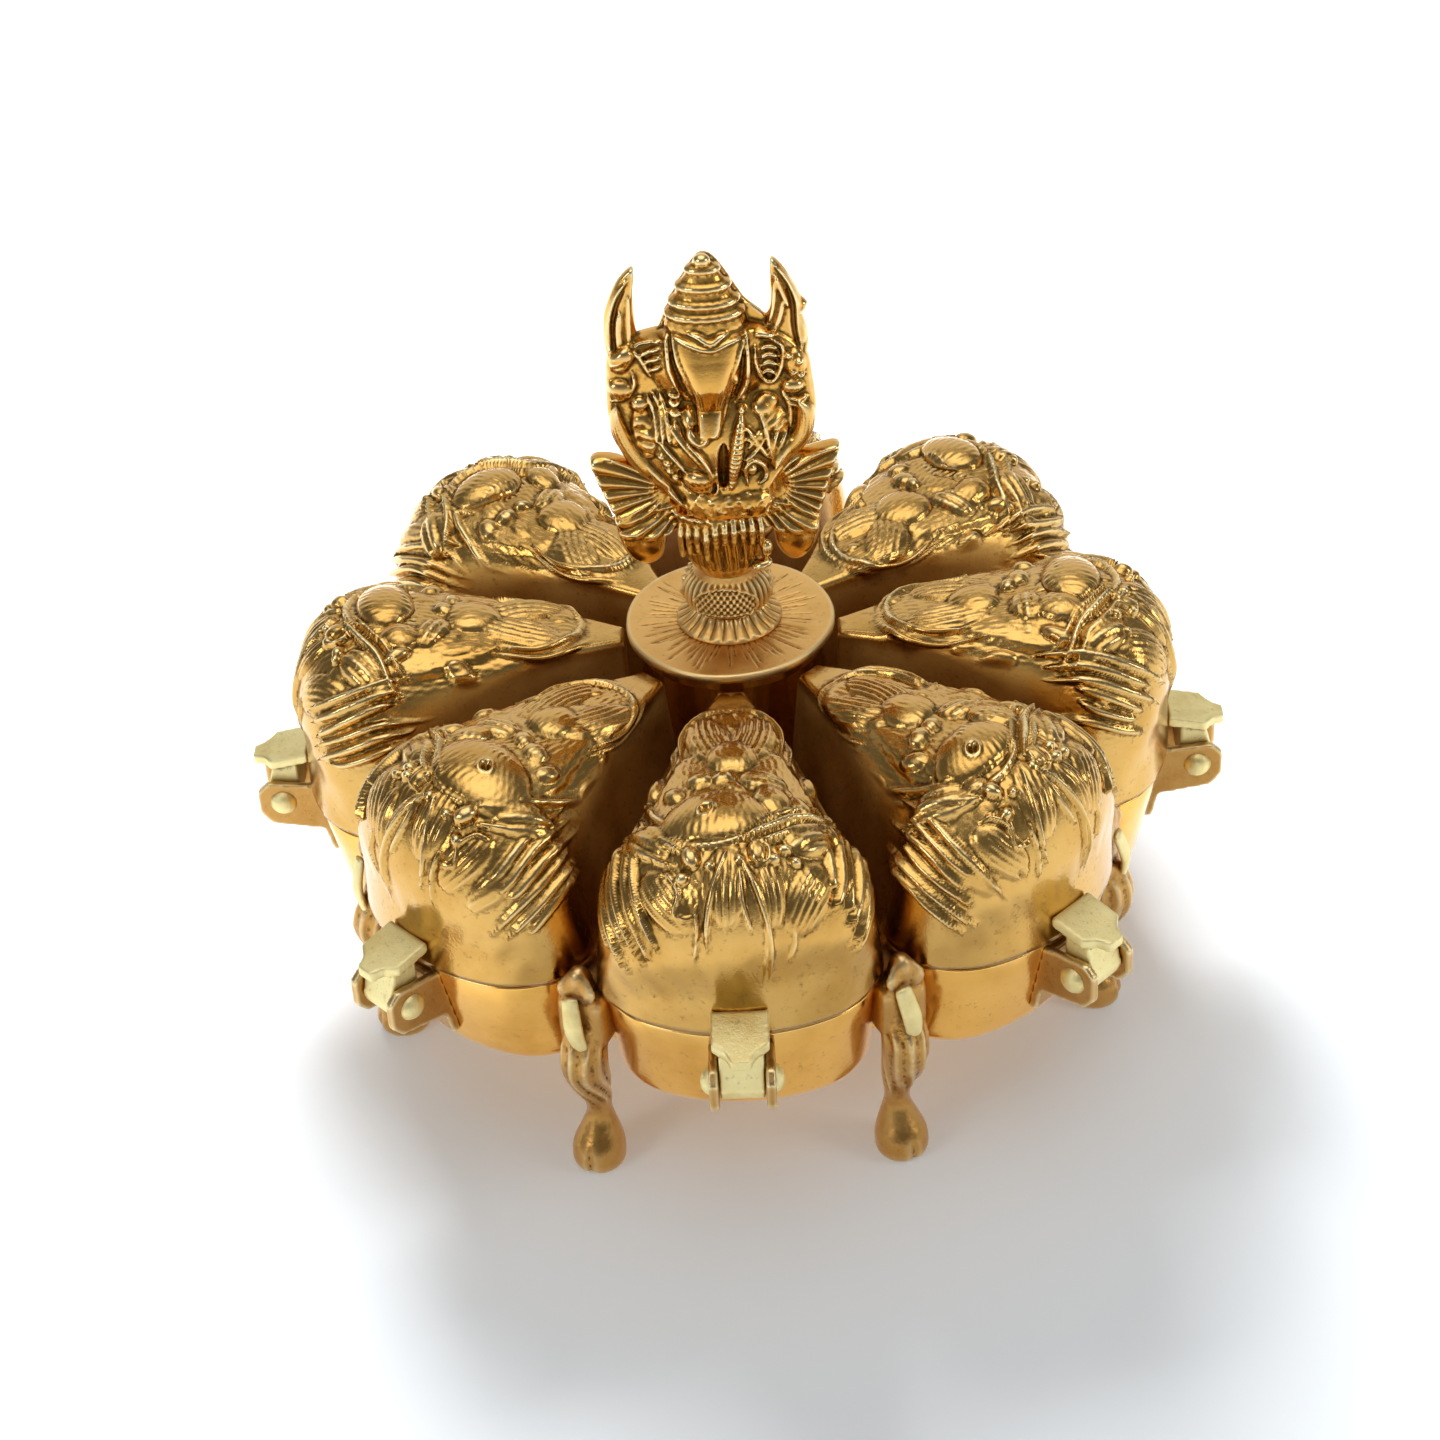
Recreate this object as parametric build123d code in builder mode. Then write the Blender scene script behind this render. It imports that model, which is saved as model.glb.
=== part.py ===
from build123d import *
import os
from math import cos, radians, sin, sqrt, tan

# Brass kumkum box: eight petal-shaped boxes with hinged lids round a screwed finial.
# Millimetres, +Z up, origin on the table under the middle of the box.
# Petal 1 faces the front, toward -Y, and the others follow counter-clockwise.
# The pieces of a petal are drawn once, pointing along +X, and turned to their places.
os.makedirs("parts", exist_ok=True)

# Petals in plan
petal_count = 8
petal_gap = 3.0
end_radius = 34.0
corner_radius = 14.0
flat_corner_share = 0.72

# Boxes: cast cups with a lid each
leg_height = 20.0
cup_depth = 20.6
cup_reach = 79.0
cup_draft = 12.0
cup_wall = 2.0
cup_tip = 18.0
cup_foot_bevel = 2.4
lid_seat_gap = 1.0
lid_overhang = 0.8
lid_tip_setback = 1.3
lid_wall = 1.6
lid_side_lean = 8.0
lid_end_lean = 2.5
lid_tip_height = 26.4
lid_crown_rise = 7.4
lid_crown_angle = 7.4
lid_crown_radius = 40.0
lid_shoulder = 12.0
lid_shoulder_height = 20.0

# Main masses of the chased figure on a lid; the fine chasing is left to the looks.
# Outlines give the way along the ridge from the tip and the half width there.
relief_height = 1.9
relief_bevel = 1.6
halo_outline = [(5.5, 4.0), (9.0, 7.5), (16.5, 7.5), (20.5, 4.0)]
body_outline = [(19.0, 6.0), (30.5, 13.5), (40.0, 13.5)]
skirt_height = 1.1
skirt_start = 36.7
skirt_hem = 11.0

# Hinges: a cast bracket with two ears, a headed pin and a filed leaf with one lug
pin_offset = 5.2
pin_drop = 3.9
pin_radius = 1.6
pin_head_radius = 2.4
pin_head = 0.9
pin_head_sides = 8
pin_play = 0.05
ear_radius = 4.5
ear_bevel = 2.0
ear_thickness = 1.6
ear_spread = 11.0
ear_root = 10.5
strap_drop = 16.0
strap_thickness = 1.3
lug_radius = 3.2
lug_play = 0.2
leaf_width = 9.6
leaf_thickness = 2.0
leaf_overhang = 5.0
leaf_root_height = 5.6
leaf_tip_height = 3.4
leaf_step = 1.5
leaf_point_width = 5.4
leaf_point_length = 2.2
leaf_nib_width = 3.2

# Legs in the valleys between the petals; the insets count from the face of the yoke
hoof_inset = 1.8
hoof_width = 9.4
hoof_height = 6.5
hoof_top_share = 0.92
leg_bevel_share = 0.28
ankle_inset = 3.8
ankle_width = 4.4
calf_swell = 1.0
ankle_height = 10.5
knee_inset = 0.3
knee_width = 6.6
knee_height = 26.0
web_depth = 13.0
yoke_length = 10.3
yoke_clearance = 0.15
yoke_bottom = 28.0
yoke_overlap = 2.0
bud_overhang = 0.8
bud_width = 4.6
bud_height = 45.0
bud_taper = 18.0

# Bores, hinge pins and lugs are drawn with this many flat sides
hole_sides = 12

# Middle: base plate, column, clamping rod and nut
plate_radius = 58.0
plate_thickness = 2.0
column_gap = 3.5
column_cap_gap = 2.1
column_cap = 2.2
disc_stand = 0.9
rod_radius = 3.0
rod_clearance = 0.08
rod_reach = 17.1
nut_across_flats = 10.0
nut_thickness = 5.0
rod_below_nut = 1.0

# Finial: loose locking disc, turned stem, lotus seat and seated figure
disc_gap = 0.4
disc_thickness = 1.8
disc_lift_gap = 0.1
disc_edge = 0.5
stem_foot_radius = 10.0
stem_foot_edge = 1.0
stem_foot_slope = 1.5
stem_neck_radius = 5.2
stem_neck_height = 2.6
stem_height = 11.4
bead_radius = 7.8
bead_flat = 3.4
bead_fall = 2.7
seat_height = 12.8
seat_petal_thickness = 4.0
stalk_foot_width = 6.4
stalk_width = 9.6
stalk_waist_share = 0.8
stalk_depth = 6.0
stalk_bevel = 3.0
rod_end_clearance = 0.2
crown_top = 144.0

half_sector = radians(180 / petal_count)
cup_rim = leg_height + cup_depth
lid_rim = cup_rim + lid_seat_gap
lid_reach = cup_reach + lid_overhang
lid_tip = cup_tip + lid_tip_setback
pin_reach = lid_reach + pin_offset
column_top = lid_rim + lid_tip_height + disc_stand
column_radius = cup_tip - column_gap
column_cap_radius = lid_tip - column_cap_gap
disc_radius = lid_tip - disc_gap
rod_top = column_top + rod_reach
cup_foot_reach = cup_reach - cup_depth * tan(radians(cup_draft))
pin_height = cup_rim - pin_drop
leaf_reach = pin_reach + leaf_overhang
disc_floor = column_top + disc_lift_gap
stem_floor = disc_floor + disc_thickness + disc_lift_gap
seat_floor = stem_floor + stem_height
seat_top = seat_floor + seat_height


def finish(part, name, turn=0.0):
    """Turn a piece about the middle of the box, name it and write its file."""
    placed = part.rotate(Axis.Z, turn)
    placed.label = name
    export_step(placed, f"parts/{name}.step")


def petal_outline(height, reach, inset, tip, end, corner, flat_corners=False):
    """Wedge between two spokes, inset from both, with a rounded outer end."""
    slope = tan(half_sector)
    drop = inset / cos(half_sector)
    middle = reach - end
    # Where the spoke line v = slope * u - drop meets the end circle
    b = middle + slope * drop
    c = middle**2 + drop**2 - end**2
    corner_u = (b + sqrt(b**2 - (1 + slope**2) * c)) / (1 + slope**2)
    corner_v = slope * corner_u - drop
    tip_v = slope * tip - drop
    with BuildSketch(Plane.XY.offset(height)) as outline:
        with BuildLine():
            Polyline((corner_u, -corner_v), (tip, -tip_v), (tip, tip_v), (corner_u, corner_v))
            ThreePointArc((corner_u, corner_v), (reach, 0), (corner_u, -corner_v))
        make_face()
        corners = outline.vertices().group_by(Axis.X)[-1]
        if flat_corners:
            chamfer(corners, corner * flat_corner_share)
        else:
            fillet(corners, corner)
    return outline.sketch


def spoke_reach(reach):
    """How far out along a valley the side of a petal runs before its corner arc starts."""
    slope = tan(half_sector)
    level = (petal_gap / 2 + corner_radius) / cos(half_sector)
    middle = reach - end_radius
    b = middle + slope * level
    c = middle**2 + level**2 - (end_radius - corner_radius) ** 2
    centre_u = (b + sqrt(b**2 - (1 + slope**2) * c)) / (1 + slope**2)
    centre_v = slope * centre_u - level
    return centre_u * cos(half_sector) + centre_v * sin(half_sector)


def cup_body(wall):
    """Outside of a cup for no wall, or the hollow that leaves that wall."""
    floor = leg_height + wall
    foot_reach = cup_foot_reach + wall * tan(radians(cup_draft))
    inset = petal_gap / 2 + wall
    with BuildPart() as body:
        loft(
            [
                petal_outline(floor, foot_reach - wall, inset, cup_tip + wall,
                              end_radius - wall, corner_radius - wall, wall > 0),
                petal_outline(cup_rim, cup_reach - wall, inset, cup_tip + wall,
                              end_radius - wall, corner_radius - wall, wall > 0),
            ],
            ruled=True,
        )
        if wall == 0:
            outer_foot = body.faces().sort_by(Axis.Z)[0].edges().sort_by(Axis.X)[1:]
            chamfer(outer_foot, cup_foot_bevel)
    return body.part


def lid_body(wall, side_wall):
    """Outside of a lid for no wall, the hollow that leaves that wall, or a skin that stands
    proud at the end and the crown by a negative wall: a prism over the petal, cut by a tent
    that leans its sides in, by the crown and by the rounded outer shoulder."""
    roof = lid_tip_height + lid_crown_rise
    slope = radians(lid_crown_angle)
    lean_inset = roof * tan(radians(lid_side_lean))
    inset = petal_gap / 2 + side_wall
    spoke_drop = inset / cos(half_sector)
    tent_reach = lid_reach + lid_wall
    tent_far = tent_reach * tan(half_sector) - spoke_drop
    lean_drop = lean_inset / cos(half_sector)
    apex = spoke_drop / tan(half_sector)
    top_apex = (spoke_drop + lean_drop) / tan(half_sector)
    crown_plane = Plane(
        origin=(lid_tip + lid_crown_radius * sin(slope), 0,
                lid_rim + lid_tip_height - lid_crown_radius * cos(slope)),
        x_dir=(0, 1, 0),
        z_dir=(cos(slope), 0, sin(slope)),
    )
    shoulder_floor = lid_rim + lid_shoulder_height
    shoulder_reach = lid_reach - wall - lid_shoulder_height * tan(radians(lid_end_lean))
    shoulder = lid_shoulder - wall
    prism = petal_outline(lid_rim, lid_reach - wall, inset, lid_tip + wall,
                          end_radius - wall, corner_radius - wall, wall > 0)
    with BuildPart() as tent:
        with BuildSketch(Plane.XY.offset(lid_rim)):
            Polygon((apex, 0), (tent_reach, -tent_far), (tent_reach, tent_far), align=None)
        with BuildSketch(Plane.XY.offset(lid_rim + roof)):
            Polygon((top_apex, 0), (tent_reach, lean_drop - tent_far),
                    (tent_reach, tent_far - lean_drop), align=None)
        loft(ruled=True)
    with BuildPart() as body:
        extrude(prism, amount=roof)
        add(tent.part, mode=Mode.INTERSECT)
        with BuildSketch(crown_plane):
            Circle(lid_crown_radius - wall)
        extrude(amount=lid_reach, both=True, mode=Mode.INTERSECT)
        # Outer shoulder rounded about a level axis across the petal
        with BuildSketch(Plane.XZ):
            with BuildLine():
                Line((0, lid_rim), (lid_reach - wall, lid_rim))
                Line((lid_reach - wall, lid_rim), (shoulder_reach, shoulder_floor))
                RadiusArc(
                    (shoulder_reach, shoulder_floor),
                    (shoulder_reach - shoulder, shoulder_floor + shoulder),
                    -shoulder,
                )
                Line((shoulder_reach - shoulder, shoulder_floor + shoulder),
                     (0, shoulder_floor + shoulder))
                Line((0, shoulder_floor + shoulder), (0, lid_rim))
            make_face()
        extrude(amount=end_radius, both=True, mode=Mode.INTERSECT)
    return body.part


def relief_mass(outline):
    """Bevelled mass that stands on the ridge of the lid and reaches down into the hollow."""
    slope = radians(lid_crown_angle)
    plane = Plane(
        origin=(lid_tip, 0, lid_rim + lid_tip_height),
        x_dir=(cos(slope), 0, sin(slope)),
        z_dir=(-sin(slope), 0, cos(slope)),
    )
    with BuildPart() as mass:
        for height, inset in ((-lid_shoulder, 0), (0, 0), (relief_height, relief_bevel)):
            with BuildSketch(plane.offset(height)):
                Polygon(*[(along, -half) for along, half in outline],
                        *[(along, half) for along, half in reversed(outline)], align=None)
                if inset > 0:
                    offset(amount=-inset, kind=Kind.INTERSECTION)
        loft(ruled=True)
    return mass.part


# Cup: open casting with a rounded foot
cup_skin = cup_body(0)
with BuildPart() as cup:
    add(cup_skin)
    add(cup_body(cup_wall), mode=Mode.SUBTRACT)

# Skirt of the chased figure: a thicker skin over the outer shoulder and the crown's end
with BuildPart() as skirt:
    add(lid_body(-skirt_height, 0))
    with BuildSketch(Plane.XY.offset(lid_rim + skirt_hem)):
        with Locations((lid_tip + skirt_start, 0)):
            Rectangle(lid_reach, lid_reach, align=(Align.MIN, Align.CENTER))
    extrude(amount=lid_reach, mode=Mode.INTERSECT)

# Lid: domed shell with a crowned roof, creased sides, a blunt tip and the figure's masses
lid_skin = lid_body(0, 0)
with BuildPart() as lid:
    add(lid_skin)
    add(skirt.part)
    add(relief_mass(halo_outline))
    add(relief_mass(body_outline))
    add(lid_body(lid_wall, lid_wall), mode=Mode.SUBTRACT)

# Bracket: two ears and a strap, brazed to the outer wall of the cup
strap_foot = pin_height - strap_drop + ear_radius
strap_top = cup_rim - lid_seat_gap
foot_face = cup_reach - (cup_rim - strap_foot) * tan(radians(cup_draft)) + strap_thickness
top_face = cup_reach - lid_seat_gap * tan(radians(cup_draft)) + strap_thickness
wall_inside = cup_foot_reach - cup_wall
with BuildPart() as bracket:
    with BuildSketch(Plane.XZ.offset(ear_spread / 2 - ear_thickness)) as ear_side:
        with BuildLine():
            Polyline(
                (wall_inside, strap_top),
                (pin_reach + ear_radius, pin_height + ear_radius),
                (pin_reach + ear_radius, pin_height - ear_radius),
                (wall_inside, strap_top - ear_root),
                close=True,
            )
        make_face()
        chamfer(ear_side.vertices().group_by(Axis.X)[-1], ear_bevel)
    extrude(amount=ear_thickness)
    mirror(about=Plane.XZ)
    with BuildSketch(Plane.XZ) as strap_side:
        with BuildLine():
            Polyline(
                (wall_inside, strap_foot),
                (foot_face, strap_foot),
                (top_face, strap_top),
                (wall_inside, strap_top),
                close=True,
            )
        make_face()
    extrude(amount=ear_spread / 2, both=True)
    add(cup_skin, mode=Mode.SUBTRACT)
    with BuildSketch(Plane.XZ.offset(-ear_spread / 2)):
        with Locations((pin_reach, pin_height)):
            RegularPolygon(pin_radius, hole_sides)
    extrude(amount=ear_spread, mode=Mode.SUBTRACT)

# Pin: shaft with flat sides like the bores and a hammered head on each end
with BuildPart() as pin:
    with BuildSketch(Plane.XZ.offset(-ear_spread / 2)):
        with Locations((pin_reach, pin_height)):
            RegularPolygon(pin_radius, hole_sides)
    extrude(amount=ear_spread)
    for head_plane in (Plane.XZ.offset(ear_spread / 2), Plane.XZ.offset(-ear_spread / 2 - pin_head)):
        with BuildSketch(head_plane):
            with Locations((pin_reach, pin_height)):
                RegularPolygon(pin_head_radius, pin_head_sides)
        extrude(amount=pin_head)

# Leaf: filed plate with a stepped point and a lug that turns on the pin
leaf_root = lid_reach - lid_wall / 2
leaf_root_top = lid_rim + leaf_root_height
leaf_tip_top = lid_rim + leaf_tip_height
lug_width = ear_spread - 2 * ear_thickness - 2 * lug_play
with BuildPart() as leaf:
    with BuildSketch(Plane.XZ) as leaf_side:
        with BuildLine():
            Polyline(
                (leaf_root, leaf_root_top),
                (leaf_reach, leaf_tip_top),
                (leaf_reach, leaf_tip_top - leaf_thickness),
                (leaf_root, leaf_root_top - leaf_thickness),
                close=True,
            )
        make_face()
    extrude(amount=leaf_width / 2, both=True)
    with BuildSketch(Plane.XY.offset(lid_rim)) as leaf_plan:
        half = leaf_width / 2
        point_half = leaf_point_width / 2
        neck_x = leaf_reach - leaf_point_length
        nib_half = leaf_nib_width / 2
        with BuildLine():
            Polyline(
                (leaf_reach, -nib_half),
                (neck_x, -point_half),
                (neck_x - leaf_step, -half),
                (leaf_root, -half),
                (leaf_root, half),
                (neck_x - leaf_step, half),
                (neck_x, point_half),
                (leaf_reach, nib_half),
                close=True,
            )
        make_face()
    extrude(amount=leaf_root_height * 2, mode=Mode.INTERSECT)
    with BuildSketch(Plane.XZ) as lug_side:
        with Locations((pin_reach, pin_height)):
            RegularPolygon(lug_radius, hole_sides, major_radius=False)
        with Locations((pin_reach - leaf_thickness / 2, leaf_tip_top - leaf_thickness / 2)):
            Rectangle(2 * lug_radius - leaf_thickness, leaf_thickness / 2)
        make_hull()
    extrude(amount=lug_width / 2, both=True)
    with BuildSketch(Plane.XZ.offset(-leaf_width / 2)):
        with Locations((pin_reach, pin_height)):
            RegularPolygon(pin_radius + pin_play, hole_sides, major_radius=False)
    extrude(amount=leaf_width, mode=Mode.SUBTRACT)
    add(lid_skin, mode=Mode.SUBTRACT)

# Leg: cast hoof, ankle, thigh, and a yoke whose web fills the slot between two cups
# Along the valley the cups run side by side, and then their corner arcs swing apart
slot_end = spoke_reach(cup_reach)
yoke_face = slot_end + yoke_length
leg_sections = [
    # Height, how far in from the face of the yoke, width
    (0, hoof_inset, hoof_width),
    (hoof_height, hoof_inset, hoof_width * hoof_top_share),
    (ankle_height, ankle_inset, ankle_width),
    ((ankle_height + knee_height) / 2, ankle_inset - calf_swell, ankle_width + calf_swell),
    (knee_height, knee_inset, knee_width),
    (yoke_bottom + yoke_overlap, hoof_inset, knee_width),
]
yoke_steps = 4
yoke_outline = []
for step in range(yoke_steps + 1):
    along = slot_end + (yoke_face - slot_end) * step / yoke_steps
    swing = corner_radius - sqrt(corner_radius**2 - (along - slot_end) ** 2)
    yoke_outline.append((along, petal_gap / 2 + max(swing - yoke_clearance, 0)))
with BuildPart() as leg:
    for section_height, section_inset, section_width in leg_sections:
        with BuildSketch(Plane.XY.offset(section_height)) as section:
            with Locations((yoke_face - section_inset, 0)):
                Rectangle(section_width, section_width)
            chamfer(section.vertices(), section_width * leg_bevel_share)
    loft(ruled=True)
    with BuildSketch(Plane.XY.offset(yoke_bottom)):
        with BuildLine():
            Polyline(
                (slot_end - web_depth, -petal_gap / 2),
                *[(along, -half) for along, half in yoke_outline],
                *[(along, half) for along, half in reversed(yoke_outline)],
                (slot_end - web_depth, petal_gap / 2),
                close=True,
            )
        make_face()
    extrude(amount=cup_rim - yoke_bottom - lid_seat_gap)
    with BuildSketch(Plane.XY.offset(cup_rim - lid_seat_gap)) as bud:
        with Locations((yoke_face + bud_overhang - bud_width / 2, 0)):
            Rectangle(bud_width, bud_width)
        chamfer(bud.vertices(), bud_width * leg_bevel_share)
    extrude(amount=bud_height - cup_rim + lid_seat_gap, taper=bud_taper)

for number in range(1, petal_count + 1):
    turn = 360 / petal_count * (number - 1) - 90
    finish(cup.part, f"cup_{number}", turn)
    finish(lid.part, f"lid_{number}", turn)
    finish(bracket.part, f"hinge_bracket_{number}", turn)
    finish(pin.part, f"hinge_pin_{number}", turn)
    finish(leaf.part, f"hinge_leaf_{number}", turn)
    finish(leg.part, f"leg_{number}", turn + 180 / petal_count)

# Base plate under the cups
rod_hole = rod_radius + rod_clearance
with BuildPart() as base_plate:
    with BuildSketch(Plane.XY.offset(leg_height - plate_thickness)):
        Circle(plate_radius)
        RegularPolygon(rod_hole, hole_sides, major_radius=False, mode=Mode.SUBTRACT)
    extrude(amount=plate_thickness)
finish(base_plate.part, "base_plate")

# Column: solid turned post with a wider cap that carries the disc
with BuildPart() as column:
    with BuildSketch(Plane.XZ):
        with BuildLine():
            Polyline(
                (0, leg_height),
                (column_radius, leg_height),
                (column_radius, column_top - 2 * column_cap),
                (column_cap_radius, column_top - column_cap),
                (column_cap_radius, column_top),
                (0, column_top),
                close=True,
            )
        make_face()
    revolve(axis=Axis.Z)
    with BuildSketch(Plane.XY.offset(leg_height)):
        RegularPolygon(rod_hole, hole_sides, major_radius=False)
    extrude(amount=column_top - leg_height, mode=Mode.SUBTRACT)
finish(column.part, "column")

# Clamping rod and its nut below the base plate
nut_top = leg_height - plate_thickness
rod_foot = nut_top - nut_thickness - rod_below_nut
with BuildPart() as rod:
    with BuildSketch(Plane.XY.offset(rod_foot)):
        Circle(rod_radius)
    extrude(amount=rod_top - rod_foot)
finish(rod.part, "clamping_rod")
with BuildPart() as nut:
    with BuildSketch(Plane.XY.offset(nut_top - nut_thickness)):
        RegularPolygon(nut_across_flats / 2, 6, major_radius=False)
        RegularPolygon(rod_hole, hole_sides, major_radius=False, mode=Mode.SUBTRACT)
    extrude(amount=nut_thickness)
finish(nut.part, "rod_nut")

# Loose locking disc
with BuildPart() as disc:
    with BuildSketch(Plane.XY.offset(disc_floor)):
        Circle(disc_radius)
        RegularPolygon(rod_hole, hole_sides, major_radius=False, mode=Mode.SUBTRACT)
    extrude(amount=disc_thickness)
    chamfer(disc.faces().sort_by(Axis.Z)[-1].outer_wire().edges(), disc_edge)
finish(disc.part, "locking_disc")

# Turned stem: flared foot and bead
bead_low = seat_floor - bead_fall - bead_flat
with BuildPart() as stem:
    with BuildSketch(Plane.XZ):
        with BuildLine():
            Polyline(
                (0, seat_floor),
                (0, stem_floor),
                (stem_foot_radius, stem_floor),
                (stem_foot_radius - stem_foot_slope, stem_floor + stem_foot_edge),
                (stem_neck_radius, stem_floor + stem_neck_height),
                (bead_radius, bead_low),
                (bead_radius, bead_low + bead_flat),
                (stem_neck_radius, seat_floor),
                close=True,
            )
        make_face()
    revolve(axis=Axis.Z)
    with BuildSketch(Plane.XY.offset(stem_floor)):
        RegularPolygon(rod_hole, hole_sides, major_radius=False)
    extrude(amount=stem_height, mode=Mode.SUBTRACT)
finish(stem.part, "finial_stem")


# Tables of the finial, in units of which the seated figure is as many high as its last
# crown station says. Blocks have level sections: height above the seat, middle across
# and back, width and depth. Plates have points across and up from the top of the seat.
figure_bevel_share = 0.3
figure_blocks = [
    # Crossed legs
    [(0, 0, 0, 26, 11), (3, 0, -0.5, 30, 12.5), (7.5, 0, -0.5, 22, 10)],
    # Belly and chest
    [(3, 0, -1.5, 13, 11), (9, 0, -2, 17, 12), (17, 0, -0.5, 16, 9), (25, 0, 0, 20, 6)],
    # Head and brow
    [(20, -1, -1.5, 9, 8), (27, -1, -2.5, 13, 9.5), (33, -0.8, -2, 15, 9)],
    # Crown in two stages and its knob
    [(33, -0.8, -1, 15.2, 10), (40, -0.7, -1, 10.6, 7.4), (46, -0.6, -1, 4.6, 3.6)],
    [(46, -0.6, -1, 3.6, 3.6), (48.9, -0.6, -1, 1.8, 1.8)],
    # Trunk that curls to one side
    [(8, -5.5, -8.5, 4.4, 3.4), (11.5, -2.6, -8.8, 4.2, 4), (20, -1.6, -7.6, 5.2, 5),
     (29, -1.2, -5, 8.5, 6)],
    # Front hands
    [(13, -8, -6.5, 4.5, 4), (18, -9.5, -5.5, 5, 4), (21, -11, -3, 4, 4)],
    [(13, 8, -6.5, 4.5, 4), (18, 9.5, -5.5, 5, 4), (21, 11, -3, 4, 4)],
]
ear_plate = [(5.5, 31), (10, 32.5), (14.5, 31), (15.2, 25), (12.5, 19.5), (5.5, 22)]
ear_depth = 3.0
arm_plate = [(7, 21), (15, 24.5), (18.6, 22), (17.5, 9), (12, 4), (9, 9)]
arm_depth = 2.2
blade_plate = [(12.6, 20), (12.2, 36), (11.8, 46.9), (17.6, 36), (18, 21)]
blade_depth = 1.4
blade_bow = 0.5
upper_petal = [(6, -1.5), (22.6, 8.6), (17.2, -4)]
lower_petal = [(5, -3), (19.6, -4.6), (12, -11)]
upper_bow = 1.2
lower_bow = 1.6
figure_unit = (crown_top - seat_top) / max(
    station[0] for stations in figure_blocks for station in stations
)


def bowed_plate(points, bow):
    """Upright leaf outline through corners given in figure units, with bowed sides."""
    corners = [(across * figure_unit, seat_top + up * figure_unit) for across, up in points]
    with BuildSketch(Plane.XZ) as plate:
        with BuildLine():
            for first, second in zip(corners, corners[1:] + corners[:1]):
                if bow == 0:
                    Line(first, second)
                else:
                    SagittaArc(first, second, bow * figure_unit)
        make_face()
    return plate.sketch


# Lotus seat: short fluted stalk and two pairs of side petals, a flat casting
rod_socket = rod_top + rod_end_clearance
with BuildPart() as seat:
    for side in (-1, 1):
        upper = bowed_plate([(side * across, up) for across, up in upper_petal], side * upper_bow)
        extrude(upper, amount=seat_petal_thickness / 2, both=True)
        lower = bowed_plate([(side * across, up) for across, up in lower_petal], side * lower_bow)
        extrude(lower, amount=seat_petal_thickness / 2, both=True)
    for stalk_level, half_width in (
        (seat_floor, stalk_foot_width),
        ((seat_floor + seat_top) / 2, stalk_width * stalk_waist_share),
        (seat_top, stalk_width),
    ):
        with BuildSketch(Plane.XY.offset(stalk_level)) as stalk:
            Rectangle(2 * half_width, 2 * stalk_depth)
            chamfer(stalk.vertices(), stalk_bevel)
    loft(ruled=True)
    with BuildSketch(Plane.XY.offset(seat_floor)):
        RegularPolygon(rod_hole, hole_sides, major_radius=False)
    extrude(amount=rod_socket - seat_floor, mode=Mode.SUBTRACT)
finish(seat.part, "lotus_seat")


def block(stations, bevel):
    """Bevelled block through the level sections of a table."""
    with BuildPart() as solid:
        for up, across, back, width, depth in stations:
            with BuildSketch(Plane.XY.offset(seat_top + up * figure_unit)) as shape:
                with Locations((across * figure_unit, back * figure_unit)):
                    Rectangle(width * figure_unit, depth * figure_unit)
                chamfer(shape.vertices(), min(width, depth) * bevel * figure_unit)
        loft(ruled=True)
    return solid.part


# Seated elephant-headed figure
with BuildPart() as figure:
    for stations in figure_blocks:
        add(block(stations, figure_bevel_share))
    for side in (-1, 1):
        ear = bowed_plate([(side * across, up) for across, up in ear_plate], 0)
        extrude(ear, amount=ear_depth * figure_unit)
        arm = bowed_plate([(side * across, up) for across, up in arm_plate], 0)
        extrude(arm, amount=arm_depth * figure_unit, both=True)
        blade = bowed_plate([(side * across, up) for across, up in blade_plate],
                            side * blade_bow)
        extrude(blade, amount=blade_depth * figure_unit, both=True)
    add(seat.part, mode=Mode.SUBTRACT)
finish(figure.part, "finial_figure")
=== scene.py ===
"""Brass kumkum box with eight petal boxes round a seated figure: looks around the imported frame.

Lengths are millimetres in the shape functions and metres in Blender, with +Z up.
Petal 1 faces the front, toward -Y, and the others follow counter-clockwise.
A petal is drawn once along +X as u, with v across it, and turned to its place.
"""
from math import atan2, cos, pi, radians, sin, sqrt, tan

import bpy
import numpy as np
from bpy.props import FloatProperty, FloatVectorProperty, PointerProperty
from mathutils import Matrix, Vector


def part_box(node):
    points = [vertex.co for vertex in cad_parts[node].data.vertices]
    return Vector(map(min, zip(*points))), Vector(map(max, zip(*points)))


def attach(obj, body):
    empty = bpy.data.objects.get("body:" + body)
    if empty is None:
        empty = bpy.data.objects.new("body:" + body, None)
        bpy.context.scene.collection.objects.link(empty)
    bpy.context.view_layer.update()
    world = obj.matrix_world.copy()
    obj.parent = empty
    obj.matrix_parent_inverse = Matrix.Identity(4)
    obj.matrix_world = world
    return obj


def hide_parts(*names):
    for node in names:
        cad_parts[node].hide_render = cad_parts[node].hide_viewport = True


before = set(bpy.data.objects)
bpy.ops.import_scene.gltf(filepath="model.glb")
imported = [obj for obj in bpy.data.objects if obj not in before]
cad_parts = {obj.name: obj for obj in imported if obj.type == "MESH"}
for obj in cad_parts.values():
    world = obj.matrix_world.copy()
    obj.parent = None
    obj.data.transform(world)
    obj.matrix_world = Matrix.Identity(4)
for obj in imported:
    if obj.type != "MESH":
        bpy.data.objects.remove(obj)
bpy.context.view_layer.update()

bl_info = {
    "name": "Kumkum box",
    "version": (1, 0, 0),
    "blender": (4, 5, 0),
    "location": "View3D > Sidebar > Kumkum box",
    "description": "Dresses the brass kumkum box with its lids, finial, hinges and legs",
    "category": "Object",
}

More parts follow.
